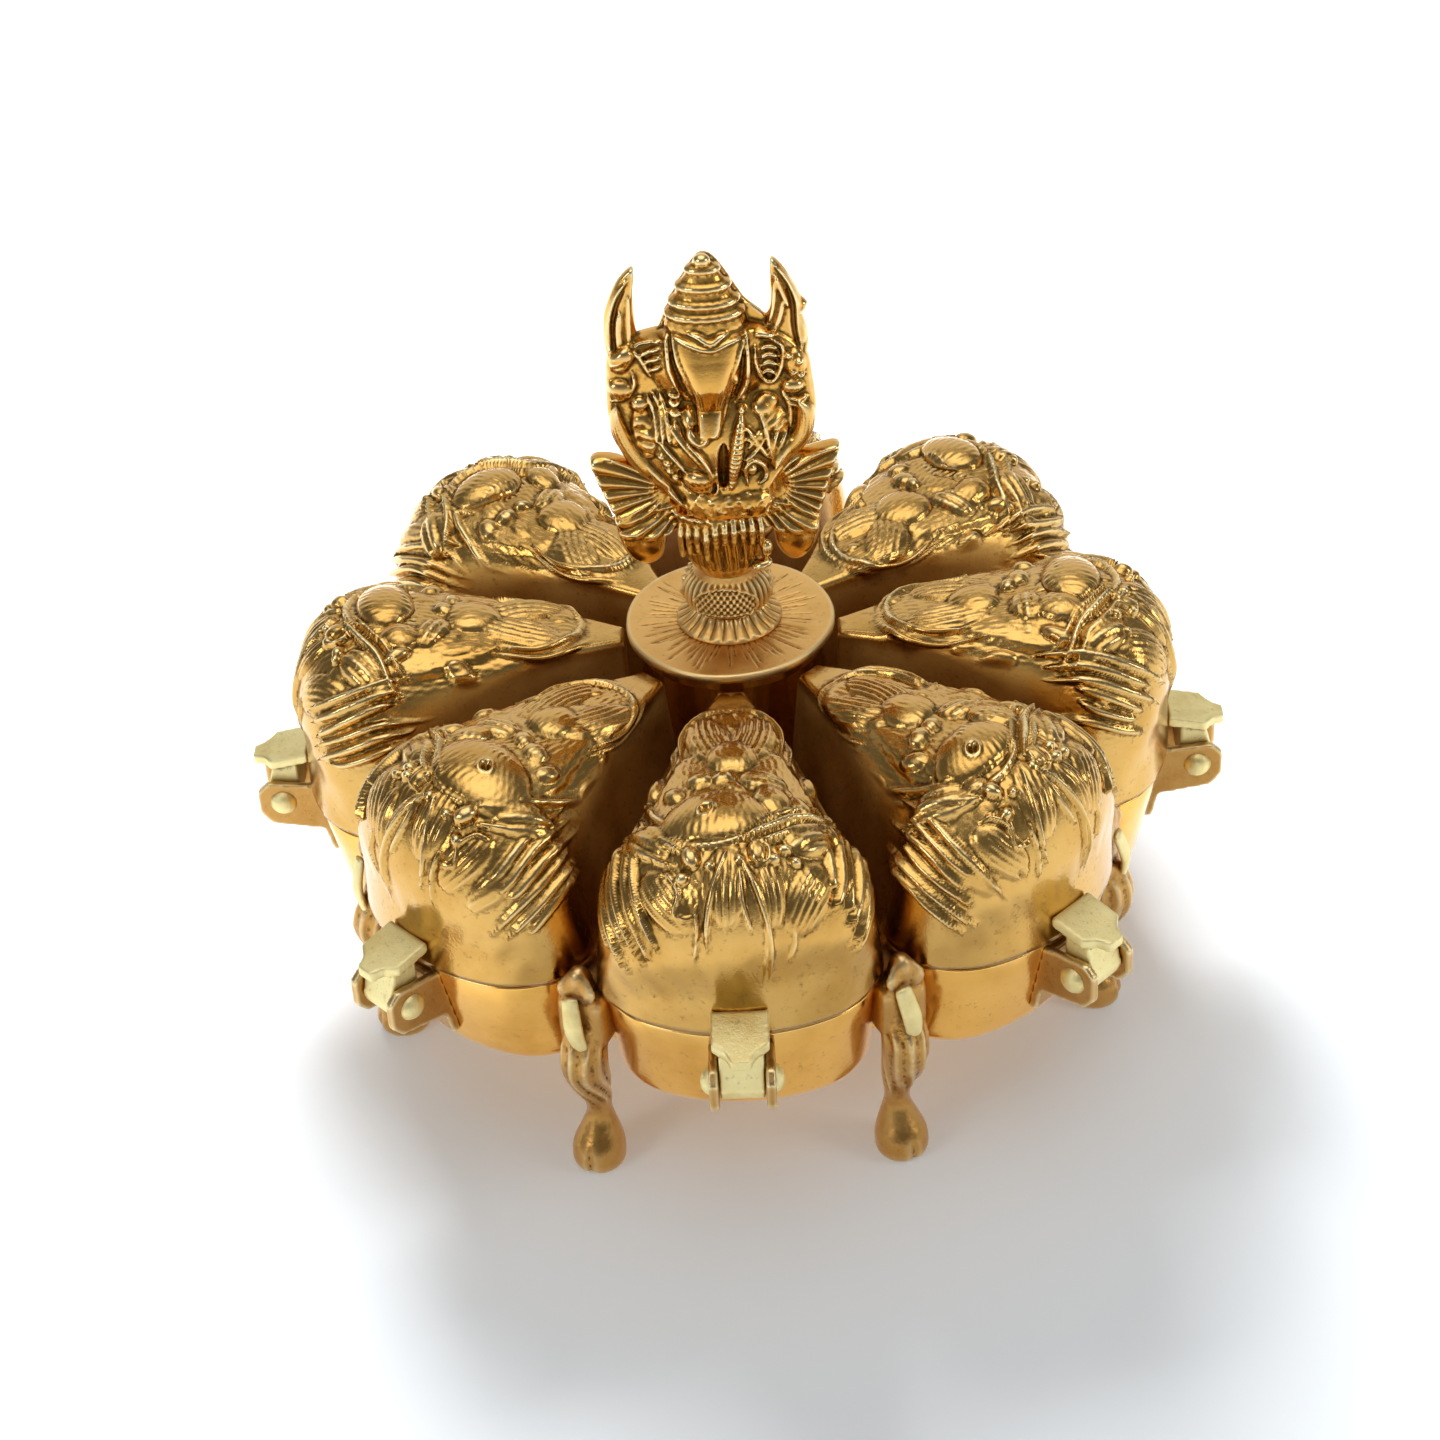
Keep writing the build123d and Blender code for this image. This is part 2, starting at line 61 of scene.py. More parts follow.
MM = 0.001
PETALS = 8
HALF_SECTOR = pi / PETALS


def top_of(node):
    """Height in mm of the highest point of a CAD node."""
    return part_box(node)[1].z / MM


def foot_of(node):
    """Height in mm of the lowest point of a CAD node."""
    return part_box(node)[0].z / MM


# Petal plan: inset from the two spokes, radius of the outer end and of its corners
PETAL_INSET = 1.5
END_RADIUS = 34.0
CORNER_RADIUS = 14.0
# Points on half a petal outline: end arc, corner, side and blunt tip
OUTLINE_COUNTS = (64, 36, 78, 6)
# Cups: foot, rim, reach and tip from the middle of the box
CUP_FOOT = foot_of("cup_1")
CUP_RIM = top_of("cup_1")
CUP_REACH = -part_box("cup_1")[0].y / MM
CUP_DRAFT = radians(12)
CUP_WALL = 2.0
CUP_TIP = 18.0
CUP_FOOT_ROUND = 3.2
CUP_FLOOR_ROUND = 2.0
CUP_LIP = 0.4
SMALLEST_CORNER = 4.0
# Lids: the block is the height to which the leaning walls are drawn
LID_RIM = foot_of("lid_1")
LID_REACH = 79.8
LID_TIP = 19.3
LID_WALL = 1.6
LID_BLOCK = 33.8
LID_TIP_HEIGHT = 26.4
LID_SIDE_LEAN = radians(8)
LID_END_LEAN = radians(2.5)
CROWN_RADIUS = 40.0
CROWN_SLOPE = radians(7.4)
SHOULDER_AT_TIP = 1.2
SHOULDER_AT_END = 19.0
# The shoulder widens between these reaches, with this power
SHOULDER_FROM, SHOULDER_TO, SHOULDER_POWER = 24, LID_REACH - 4, 1.3
SMALLEST_SHOULDER = 0.6
# Middle line of a petal: where it starts beyond the tip, the pole that the whole end shares,
# and how far beyond the pole the sides still run to it
SPINE_START = 1.5
POLE_REACH = 56.0
POLE_SPREAD = 11
# Rows of the lid's skin on the wall, the shoulder and the crown, outside and inside
OUTER_ROWS = (16, 76, 40)
INNER_ROWS = (2, 6, 6)
# Between these reaches from the middle, the walls change from as cast to chased or buffed
PLAIN_FROM, PLAIN_TO = 48, 60
# On a lid they start between these values of the way from the ridge along the skin, less the
# way from the ridge to the rim in plan
CREASE_FROM, CREASE_TO = -4.2, -0.9

# Greatest hollow measure per mm, and how often it is spread to the neighbouring points
HOLLOW_LIMIT = 2
HOLLOW_SPREAD = 3

# Voxels of the smaller castings, and the legs' voxel in units of the finial's
BRACKET_VOXEL = 0.42
LEAF_VOXEL = 0.36
PLATE_VOXEL = 0.3
LEG_VOXEL_SHARE = 1.6

# Middle and finial
PIN_REACH = 85.0
DISC_FLOOR = foot_of("locking_disc")
DISC_TOP = top_of("locking_disc")
DISC_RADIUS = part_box("locking_disc")[1].x / MM
STEM_FLOOR = foot_of("finial_stem")
SEAT_FLOOR = top_of("finial_stem")
ROD_HOLE = 3.08
SEAT_TOP = foot_of("finial_figure")


def hex_colour(code):
    """Linear colour of an sRGB hex code."""
    value = np.array([int(code[i:i + 2], 16) / 255 for i in (1, 3, 5)])
    linear = np.where(value <= 0.04045, value / 12.92, ((value + 0.055) / 1.055) ** 2.4)
    return tuple(float(c) for c in linear)


def colour_property(name, description, code):
    """Colour setting with a hex default."""
    return FloatVectorProperty(name=name, description=description, subtype="COLOR", size=3,
                               min=0, max=1, default=hex_colour(code))


class KumkumBoxSizes(bpy.types.PropertyGroup):
    """Sizes that change the chasing and the castings."""
    relief: FloatProperty(
        name="Lid relief", description="Height of the chased figures above the lid",
        default=1.9 * MM, min=0, max=4 * MM, unit="LENGTH")
    mass: FloatProperty(
        name="Lid masses", description="How far the halo, body and skirt stand off the lid",
        default=0.9 * MM, min=0, max=2 * MM, unit="LENGTH")
    engraving: FloatProperty(
        name="Engraving", description="Depth of the engraved lines on the lids",
        default=0.2 * MM, min=0, max=1 * MM, unit="LENGTH")
    ray_depth: FloatProperty(
        name="Disc rays", description="Depth of the rays cut into the locking disc",
        default=0.28 * MM, min=0, max=0.6 * MM, unit="LENGTH")
    casting_grain: FloatProperty(
        name="Casting voxel", description="Finest detail of the remeshed castings",
        default=0.26 * MM, min=0.15 * MM, max=1 * MM, unit="LENGTH")


class KumkumBoxColours(bpy.types.PropertyGroup):
    """Colours of the brass finishes and of the floor."""
    cast: colour_property("Cast brass", "Polished walls of the cups", "#f0ba60")
    chased: colour_property("Chased brass", "Faces of the chased lids", "#cda25a")
    figure: colour_property("Cast figure", "Lacquered castings of the finial", "#dba652")
    filed: colour_property("Filed brass", "Bare filed plates of the hinges", "#efe0a4")
    aged: colour_property("Aged brass", "Legs and hinge brackets", "#bd9050")
    turned: colour_property("Turned brass", "Locking disc, rod and nut", "#e6b76c")
    # Dark patina colour of the hollows, also laid on as painted shade there
    tarnish_and_shade: colour_property("Tarnish", "Dark film in the hollows", "#4e3a17")
    # Pale edge colour: metal polished by handling, also laid on as a painted highlight
    worn_and_highlight: colour_property("Worn metal", "Bright metal on rubbed edges", "#f7e8b4")
    floor: colour_property("Floor", "Pale table top", "#e9eff4")


def surface(grid, wrap_rows=False):
    """Quads between neighbouring rows and columns of a grid of points; its columns, and its
    rows where asked, close into a loop."""
    rows, columns = grid.shape[:2]
    index = np.arange(rows * columns).reshape(rows, columns)
    if wrap_rows:
        index = np.vstack([index, index[:1]])
    index = np.hstack([index, index[:, :1]])
    quads = np.stack([index[:-1, :-1], index[:-1, 1:], index[1:, 1:], index[1:, :-1]], axis=-1)
    return grid.reshape(-1, 3), quads.reshape(-1, 4)


def cap_ends(points, quads, rows, columns):
    """Closes the first and last row of a wrapped grid with fans to their middles."""
    first = np.arange(columns)
    last = first + (rows - 1) * columns
    middles = np.array([points[first].mean(0), points[last].mean(0)])
    low, high = np.full(columns, len(points)), np.full(columns, len(points) + 1)
    fan_low = np.stack([np.roll(first, -1), first, low, low], -1)
    fan_high = np.stack([last, np.roll(last, -1), high, high], -1)
    return np.vstack([points, middles]), np.vstack([quads, fan_low, fan_high])


def joined(patches):
    """One list of points and quads from several closed patches."""
    offset = np.cumsum([0] + [len(points) for points, quads in patches[:-1]])
    points = np.vstack([points for points, quads in patches])
    quads = np.vstack([quads + start for (_, quads), start in zip(patches, offset)])
    return points, quads


def welded(points, quads):
    """Merges points in the same place and returns points, quads, triangles and the merge map."""
    keys = np.round(points, 4)
    unique, index = np.unique(keys, axis=0, return_inverse=True)
    index = index.reshape(-1)
    merged = np.zeros_like(unique)
    merged[index] = points
    faces = index[quads]
    same = faces == np.roll(faces, -1, axis=1)
    whole = faces[same.sum(1) == 0]
    slim = faces[same.sum(1) == 1]
    keep = ~same[same.sum(1) == 1]
    triangles = slim[keep].reshape(-1, 3)
    return merged, whole, triangles, index


def corner_triangles(quads, triangles):
    """All faces as triangles."""
    return np.vstack([quads[:, [0, 1, 2]], quads[:, [0, 2, 3]], triangles])


def vertex_normals(points, quads, triangles):
    """Area-weighted normals: the sum of the cross products of the faces at each point."""
    faces = corner_triangles(quads, triangles)
    a, b, c = points[faces[:, 0]], points[faces[:, 1]], points[faces[:, 2]]
    cross = np.cross(b - a, c - a)
    total = np.zeros_like(points)
    for corner in range(3):
        np.add.at(total, faces[:, corner], cross)
    return total / np.maximum(np.linalg.norm(total, axis=1, keepdims=True), 1e-12)


def volume_sign(points, quads, triangles):
    """Positive when the faces point outward: the sum of the tetrahedra to the origin."""
    faces = corner_triangles(quads, triangles)
    a, b, c = points[faces[:, 0]], points[faces[:, 1]], points[faces[:, 2]]
    return np.sign(np.einsum("ij,ij->i", a, np.cross(b, c)).sum())


def neighbour_mean(values, edges, count):
    """Mean of a value over the points joined to each point by an edge."""
    total = np.zeros((count,) + values.shape[1:])
    number = np.zeros(count)
    for here, there in ((0, 1), (1, 0)):
        np.add.at(total, edges[:, here], values[edges[:, there]])
        np.add.at(number, edges[:, here], 1)
    number = np.maximum(number, 1)
    return total / number.reshape((-1,) + (1,) * (values.ndim - 1))


def hollow_measure(points, quads, triangles):
    """Mean curvature per mm, positive in hollows: how far the neighbours stand above a point."""
    sides = [quads[:, [0, 1]], quads[:, [1, 2]], quads[:, [2, 3]], quads[:, [3, 0]],
             triangles[:, [0, 1]], triangles[:, [1, 2]], triangles[:, [2, 0]]]
    edges = np.vstack(sides)
    edges = np.unique(np.sort(edges, axis=1), axis=0)
    normals = vertex_normals(points, quads, triangles)
    lift = neighbour_mean(points, edges, len(points)) - points
    length = np.linalg.norm(points[edges[:, 0]] - points[edges[:, 1]], axis=1)
    square = np.zeros(len(points))
    number = np.zeros(len(points))
    for end in (0, 1):
        np.add.at(square, edges[:, end], length ** 2)
        np.add.at(number, edges[:, end], 1)
    square = square / np.maximum(number, 1)
    hollow = np.einsum("ij,ij->i", lift, normals) / np.maximum(square, 1e-4)
    hollow = np.clip(hollow, -HOLLOW_LIMIT, HOLLOW_LIMIT)
    for _ in range(HOLLOW_SPREAD):
        hollow = 0.5 * hollow + 0.5 * neighbour_mean(hollow, edges, len(points))
    return hollow


def mesh_object(name, points, quads, triangles, measures=None):
    """Smooth-shaded object at the origin from points in mm, with its measures by point."""
    mesh = bpy.data.meshes.new(name)
    mesh.from_pydata((points * MM).tolist(), [], quads.tolist() + triangles.tolist())
    mesh.shade_smooth()
    for measure, values in (measures or {}).items():
        layer = mesh.attributes.new(measure, "FLOAT", "POINT")
        layer.data.foreach_set("value", values.astype(np.float32))
    piece = bpy.data.objects.new(name, mesh)
    bpy.context.scene.collection.objects.link(piece)
    return piece


def finished(name, points, quads, triangles, as_cast=None):
    """Object whose faces point outward, with its hollow measure worked out and, where it is
    given, how far each point was left as cast, without buffing."""
    if volume_sign(points, quads, triangles) < 0:
        quads, triangles = quads[:, ::-1], triangles[:, ::-1]
    measures = {"hollow": hollow_measure(points, quads, triangles)}
    if as_cast is not None:
        measures["as_cast"] = as_cast
    return mesh_object(name, points, quads, triangles, measures)


def solid(name, patch, as_cast=None):
    """Object from one closed patch, with its share left as cast at each point of the grid."""
    merged, whole, slim, index = welded(*patch)
    shares = None
    if as_cast is not None:
        shares = np.zeros(len(merged))
        shares[index] = as_cast.reshape(-1)
    return finished(name, merged, whole, slim, shares)


def mount(piece, body, node, material):
    """Seats a new piece on its body in place of a CAD node."""
    piece.data.materials.append(material)
    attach(piece, body)
    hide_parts(node)


def mesh_arrays(mesh):
    """Points in mm, quads and triangles of a mesh."""
    points = np.empty(len(mesh.vertices) * 3)
    mesh.vertices.foreach_get("co", points)
    corners = np.empty(len(mesh.loops), int)
    mesh.loops.foreach_get("vertex_index", corners)
    starts = np.empty(len(mesh.polygons), int)
    sizes = np.empty(len(mesh.polygons), int)
    mesh.polygons.foreach_get("loop_start", starts)
    mesh.polygons.foreach_get("loop_total", sizes)
    quads = corners[starts[sizes == 4][:, None] + np.arange(4)]
    triangles = corners[starts[sizes == 3][:, None] + np.arange(3)]
    return points.reshape(-1, 3) / MM, quads, triangles


def casting(name, points, quads, triangles, voxel):
    """One closed skin over overlapping solids, as a casting has: a voxel remesh, then each
    point moved half of the way to the mean of its neighbours."""
    rough = mesh_object(name + "_rough", points, quads, triangles)
    remesh = rough.modifiers.new("Casting", "REMESH")
    remesh.mode = "VOXEL"
    remesh.voxel_size = voxel * MM
    depsgraph = bpy.context.evaluated_depsgraph_get()
    skin = bpy.data.meshes.new_from_object(rough.evaluated_get(depsgraph))
    points, quads, triangles = mesh_arrays(skin)
    bpy.data.objects.remove(rough)
    bpy.data.meshes.remove(skin)
    edges = np.vstack([quads[:, [0, 1]], quads[:, [1, 2]], quads[:, [2, 3]], quads[:, [3, 0]]])
    points = 0.5 * points + 0.5 * neighbour_mean(points, edges, len(points))
    return finished(name, points, quads, triangles)


def cast_patches(name, patches, voxel):
    """Casting from closed patches that overlap."""
    merged, whole, slim, _ = welded(*joined([outward(patch) for patch in patches]))
    return casting(name, merged, whole, slim, voxel)


def outward(patch):
    """Patch with its faces turned outward."""
    points, quads = patch
    triangles = np.empty((0, 3), int)
    if volume_sign(points - points.mean(0), quads, triangles) < 0:
        quads = quads[:, ::-1]
    return points, quads


def smoothstep(value, low, high):
    """0 below low, 1 above high, and a smooth S between them."""
    share = np.clip((value - low) / (high - low), 0, 1)
    return share * share * (3 - 2 * share)


def smooth_path(stations, count):
    """Catmull-Rom curve through rows of numbers, sampled evenly in its parameter."""
    rows = np.asarray(stations, float)
    padded = np.vstack([2 * rows[0] - rows[1], rows, 2 * rows[-1] - rows[-2]])
    t = np.linspace(0, len(rows) - 1, count)
    i = np.minimum(t.astype(int), len(rows) - 2)
    f = (t - i)[:, None]
    a, b, c, d = padded[i], padded[i + 1], padded[i + 2], padded[i + 3]
    return 0.5 * (2 * b + (c - a) * f + (2 * a - 5 * b + 4 * c - d) * f ** 2
                  + (3 * b - a - 3 * c + d) * f ** 3)


def ball(centre, size, tilt=0.0, power=2.0, rows=20, columns=28):
    """Superellipsoid: sines and cosines of latitude and longitude raised to 2 over the power,
    times the half sizes, then tilted about the y axis."""
    latitude = np.linspace(-pi / 2, pi / 2, rows)[:, None]
    longitude = np.linspace(0, 2 * pi, columns, endpoint=False)[None, :]

    def shaped(value):
        """Power that keeps the sign."""
        return np.sign(value) * np.abs(value) ** (2 / power)

    x = shaped(np.cos(latitude)) * shaped(np.cos(longitude)) * size[0]
    y = shaped(np.cos(latitude)) * shaped(np.sin(longitude)) * size[1]
    z = shaped(np.sin(latitude)) * np.ones_like(longitude) * size[2]
    turn = radians(tilt)
    points = np.stack([x * cos(turn) + z * sin(turn), y, z * cos(turn) - x * sin(turn)], -1)
    return surface(points + np.array(centre))


def limb(stations, rows=36, columns=20, ripples=0, ripple_depth=0.0, bluntness=6.0,
         facing=(0, -1, 0)):
    """Tube along a smooth path whose stations give x, y, z, half width and half depth.
    Its ends round off as a superellipse, and ripples swell it as bangles or folds."""
    path = smooth_path(stations, rows)
    centre, width, depth = path[:, :3], path[:, 3], path[:, 4]
    share = np.linspace(-1, 1, rows)
    taper = (1 - np.abs(share) ** bluntness) ** (1 / bluntness)
    ripple = 1 + ripple_depth * np.cos(pi * ripples * share)
    along = np.gradient(centre, axis=0)
    along /= np.linalg.norm(along, axis=1, keepdims=True)
    side = np.cross(along, np.array(facing, float))
    side /= np.linalg.norm(side, axis=1, keepdims=True)
    front = np.cross(side, along)
    angle = np.linspace(0, 2 * pi, columns, endpoint=False)
    reach_side = (width * taper * ripple)[:, None, None] * side[:, None, :]
    reach_front = (depth * taper * ripple)[:, None, None] * front[:, None, :]
    points = (centre[:, None, :] + np.cos(angle)[None, :, None] * reach_side
              + np.sin(angle)[None, :, None] * reach_front)
    return surface(points)


def slab(outline, front, back, count, edge):
    """Plate in the x-z plane with a smooth closed outline, its edges eased front and back."""
    ring_points = smooth_path(list(outline) + [outline[0]], count + 1)[:-1]
    middle = ring_points.mean(0)
    way = ring_points - middle
    inner = middle + way * (1 - edge / np.linalg.norm(way, axis=1, keepdims=True))
    levels = [(middle + way * 0, front), (inner, front), (ring_points, front + edge),
              (ring_points, back - edge), (inner, back), (middle + way * 0, back)]
    grid = np.stack([np.column_stack([loop[:, 0], np.full(count, y), loop[:, 1]])
                     for loop, y in levels])
    return surface(grid)


def lathe(profile, radius_change, columns):
    """Surface of revolution about the z axis from rows of radius and height; radius_change,
    if there is one, adds to the radius as a function of angle, height and radius."""
    profile = np.asarray(profile, float)
    angle = np.linspace(0, 2 * pi, columns, endpoint=False)[None, :]
    radius = profile[:, :1] * np.ones_like(angle)
    height = profile[:, 1:] * np.ones_like(angle)
    if radius_change is not None:
        radius = radius + radius_change(angle, height, radius)
    grid = np.stack([radius * np.cos(angle), radius * np.sin(angle), height], -1)
    return surface(grid)


def turned(points, angle):
    """Points turned about the z axis."""
    u, v, z = points[..., 0], points[..., 1], points[..., 2]
    return np.stack([u * cos(angle) - v * sin(angle), u * sin(angle) + v * cos(angle), z], -1)


def petal_angle(number):
    """Direction of a petal from +X, in radians."""
    return radians(360 / PETALS * (number - 1) - 90)


def petal_loop(reach, inset, tip, corner, end):
    """Petal outline in plan: a wedge between two spokes, inset from both, with an end arc and
    corner arcs that touch the arc and the spokes. It starts at the outer end and goes once
    round, with the same number of points on each stretch whatever the size."""
    slope = tan(HALF_SECTOR)
    drop = inset / cos(HALF_SECTOR)
    middle = reach - end
    level = drop + corner / cos(HALF_SECTOR)
    a = 1 + slope ** 2
    b = middle + slope * level
    c = middle ** 2 + level ** 2 - (end - corner) ** 2
    corner_u = (b + sqrt(b * b - a * c)) / a
    corner_v = slope * corner_u - level
    meet = atan2(corner_v, corner_u - middle)
    end_count, corner_count, side_count, tip_count = OUTLINE_COUNTS
    end_angle = np.linspace(0, meet, end_count, endpoint=False)
    corner_angle = np.linspace(meet, pi / 2 + HALF_SECTOR, corner_count, endpoint=False)
    side = np.linspace(0, 1, side_count, endpoint=False)
    side_start = (corner_u - corner * sin(HALF_SECTOR), corner_v + corner * cos(HALF_SECTOR))
    tip_v = slope * tip - drop
    across = np.linspace(1, 0, tip_count)
    u = np.concatenate([middle + end * np.cos(end_angle), corner_u + corner * np.cos(corner_angle),
                        side_start[0] + (tip - side_start[0]) * side, tip + 0 * across])
    v = np.concatenate([end * np.sin(end_angle), corner_v + corner * np.sin(corner_angle),
                        side_start[1] + (tip_v - side_start[1]) * side, tip_v * across])
    upper = np.column_stack([u, v])
    lower = upper[-2:0:-1] * (1, -1)
    return np.vstack([upper, lower])


def spine_of(loop, tip):
    """Foot of each outline point on the middle line: the square foot of a side point, drawn
    in so that the whole end shares one pole."""
    foot = loop[:, 0] + np.abs(loop[:, 1]) * tan(HALF_SECTOR)
    share = np.clip((foot - foot.min()) / (POLE_REACH + POLE_SPREAD - foot.min()), 0, 1)
    return tip + SPINE_START + (POLE_REACH - tip - SPINE_START) * share


def roof_height(u, v, drop):
    """Crown of the lid: a cylinder whose axis rises outward, lowered by drop."""
    ridge = LID_RIM + LID_TIP_HEIGHT + (u - LID_TIP) * tan(CROWN_SLOPE)
    radius = CROWN_RADIUS - drop
    axis = ridge - CROWN_RADIUS / cos(CROWN_SLOPE)
    return axis + np.sqrt(radius ** 2 - v ** 2) / cos(CROWN_SLOPE)


def lid_skin(wall, wall_rows, shoulder_rows, roof_rows):
    """Lid skin from the rim to the ridge, column by column: a straight leaning wall, a curve
    whose control point is where wall and crown would meet, and the crown to the middle line.
    Returns the rows of points and how far each lies from the ridge, along the skin."""
    lean = LID_BLOCK * tan(LID_SIDE_LEAN)
    low = petal_loop(LID_REACH - wall, PETAL_INSET + wall, LID_TIP + wall,
                     CORNER_RADIUS - wall, END_RADIUS - wall)
    high = petal_loop(LID_REACH - LID_BLOCK * tan(LID_END_LEAN) - wall, PETAL_INSET + wall + lean,
                      LID_TIP + wall, CORNER_RADIUS - wall - lean, END_RADIUS - wall)
    spine = spine_of(low, LID_TIP + wall)
    middle = np.column_stack([spine, np.zeros(len(low))])

    def on_wall(height):
        """Plan of the leaning wall at a height of its own for each column."""
        return low + (high - low) * (height / LID_BLOCK)[:, None]

    crease = np.full(len(low), LID_TIP_HEIGHT)
    for _ in range(12):
        plan = on_wall(crease)
        crease = 0.5 * crease + 0.5 * (roof_height(plan[:, 0], plan[:, 1], wall) - LID_RIM)
    share = smoothstep(low[:, 0], SHOULDER_FROM, SHOULDER_TO) ** SHOULDER_POWER
    shoulder = np.maximum(SHOULDER_AT_TIP + (SHOULDER_AT_END - SHOULDER_AT_TIP) * share - wall,
                          SMALLEST_SHOULDER)
    corner = on_wall(crease)
    inward = middle - corner
    span = np.linalg.norm(inward, axis=1)
    step_in = np.minimum(shoulder, 0.85 * span)
    start = on_wall(crease - shoulder)
    end = corner + inward * (step_in / span)[:, None]
    end_z = roof_height(end[:, 0], end[:, 1], wall)
    rows = []
    for share in np.linspace(0, 1, wall_rows, endpoint=False):
        height = (crease - shoulder) * share
        plan = on_wall(height)
        rows.append(np.column_stack([plan, LID_RIM + height]))
    for t in np.linspace(0, 1, shoulder_rows, endpoint=False):
        plan = (1 - t) ** 2 * start + 2 * t * (1 - t) * corner + t ** 2 * end
        z = ((1 - t) ** 2 * (LID_RIM + crease - shoulder) + 2 * t * (1 - t) * (LID_RIM + crease)
             + t ** 2 * end_z)
        rows.append(np.column_stack([plan, z]))
    for share in np.linspace(0, 1, roof_rows):
        plan = end + (middle - end) * share
        rows.append(np.column_stack([plan, roof_height(plan[:, 0], plan[:, 1], wall)]))
    skin = np.stack(rows)
    step = np.linalg.norm(np.diff(skin, axis=0), axis=2)
    from_rim = np.vstack([np.zeros(len(low)), np.cumsum(step, axis=0)])
    return skin, from_rim[-1] - from_rim, low, middle


def boss_frame(x, y, cx, cy, turn):
    """Places on the lid in the turned frame of a boss: along it and across it."""
    c, s = cos(radians(turn)), sin(radians(turn))
    return (x - cx) * c + (y - cy) * s, (y - cy) * c - (x - cx) * s


def dome(x, y, cx, cy, rx, ry, turn, height):
    """Rounded boss: height times the root of one minus the squared distance in radii."""
    p, q = boss_frame(x, y, cx, cy, turn)
    return height * np.sqrt(np.clip(1 - (p / rx) ** 2 - (q / ry) ** 2, 0, None))


def ribbed(x, y, cx, cy, rx, ry, turn, spacing, bend, height, cut=0.4):
    """Rounded boss cut into ridges along it, which bend as a parabola: the dome times a wave
    of the distance across, which takes the share called cut of its height."""
    p, q = boss_frame(x, y, cx, cy, turn)
    bulge = np.sqrt(np.clip(1 - (p / rx) ** 2 - (q / ry) ** 2, 0, None))
    wave = np.abs(np.cos((q + bend * p * p) * pi / spacing)) ** 0.7
    return height * bulge * (1 - cut + cut * wave)


def ridge(x, y, stops, width, height):
    """Rounded ridge along a smooth line through the stops, slimmer toward its ends: height
    times the root of one minus the squared distance to the line in half widths."""
    line = smooth_path(stops, 6 * len(stops))
    start, way = line[:-1], np.diff(line, axis=0)
    length = np.maximum((way ** 2).sum(1), 1e-9)
    result = np.zeros_like(x)
    near = ((x > line[:, 0].min() - width) & (x < line[:, 0].max() + width)
            & (y > line[:, 1].min() - width) & (y < line[:, 1].max() + width))
    dx = x[near][:, None] - start[:, 0]
    dy = y[near][:, None] - start[:, 1]
    share = np.clip((dx * way[:, 0] + dy * way[:, 1]) / length, 0, 1)
    gap = (dx - share * way[:, 0]) ** 2 + (dy - share * way[:, 1]) ** 2
    step = gap.argmin(-1)
    place = (step + np.take_along_axis(share, step[:, None], 1)[:, 0]) / len(start)
    slim = np.maximum(1 - (2 * place - 1) ** 4, 0.05) * width
    result[near] = height * np.sqrt(np.clip(1 - gap.min(-1) / slim ** 2, 0, None))
    return result


# Chased figure of a lid, in mm on the unrolled lid: x across, y from the middle of the box
# outward along the ridge. Rows of bosses: x, y, half length, half width, turn, height.
FIGURE_BOSSES = [
    (0.2, 44.2, 4.4, 4.6, 0, 0.95), (-15.0, 44.2, 4.2, 2.6, 78, 0.95),
    (14.6, 45.6, 3.6, 2.2, -70, 0.7), (-5.2, 50.8, 2.4, 1.8, 20, 0.75),
    (-1.4, 51.4, 1.9, 1.6, 0, 0.7), (-9.6, 52.6, 2.4, 1.6, 60, 0.6),
    (-3.2, 62.2, 9.4, 6.4, 4, 1.25), (7.0, 57.2, 4.6, 3.2, 84, 0.85),
    (11.8, 57.0, 3.2, 1.6, 60, 0.75), (-6.6, 70.6, 2.2, 1.5, 70, 0.95),
    (-8.3, 73.6, 1.3, 1.1, 0, 0.8), (4.1, 70.6, 2.3, 1.6, 86, 0.8), (6.6, 71.4, 1.3, 1.0, 0, 0.75),
    (8.4, 69.4, 1.3, 1.0, 0, 0.75), (10.3, 71.0, 1.1, 0.9, 0, 0.65), (-3.6, 72.6, 1.0, 0.8, 0, 0.6),
    (1.2, 72.0, 1.0, 1.0, 0, 0.6), (17.4, 60.2, 2.6, 1.5, 70, 0.7),
]
# Ribbed bosses: x, y, half length, half width, turn, spacing, bend, height
FIGURE_RIBS = [
    (-3.9, 37.4, 7.4, 3.6, 78, 1.5, 0.02, 0.6), (3.9, 37.8, 7.4, 3.6, 100, 1.4, -0.02, 0.6),
    (5.4, 51.6, 4.0, 3.0, 4, 2.2, 0.0, 0.8), (-14.6, 62.6, 6.6, 3.4, 58, 3.0, 0.012, 1.0),
    (13.4, 64.6, 5.8, 3.4, -44, 2.6, -0.01, 0.9), (-12.6, 76.0, 7.0, 3.4, 62, 1.5, 0.02, 0.5),
    (-19.2, 74.0, 8.4, 2.6, 80, 1.9, 0.01, 0.5), (-1.2, 76.0, 6.6, 3.6, 94, 1.6, 0.0, 0.5),
    (13.6, 76.0, 7.2, 3.8, -70, 1.5, -0.02, 0.5), (6.8, 77.0, 5.4, 2.2, -104, 1.4, 0.02, 0.45),
    (-8.8, 67.0, 3.0, 1.6, 50, 1.2, 0.0, 0.7),
]
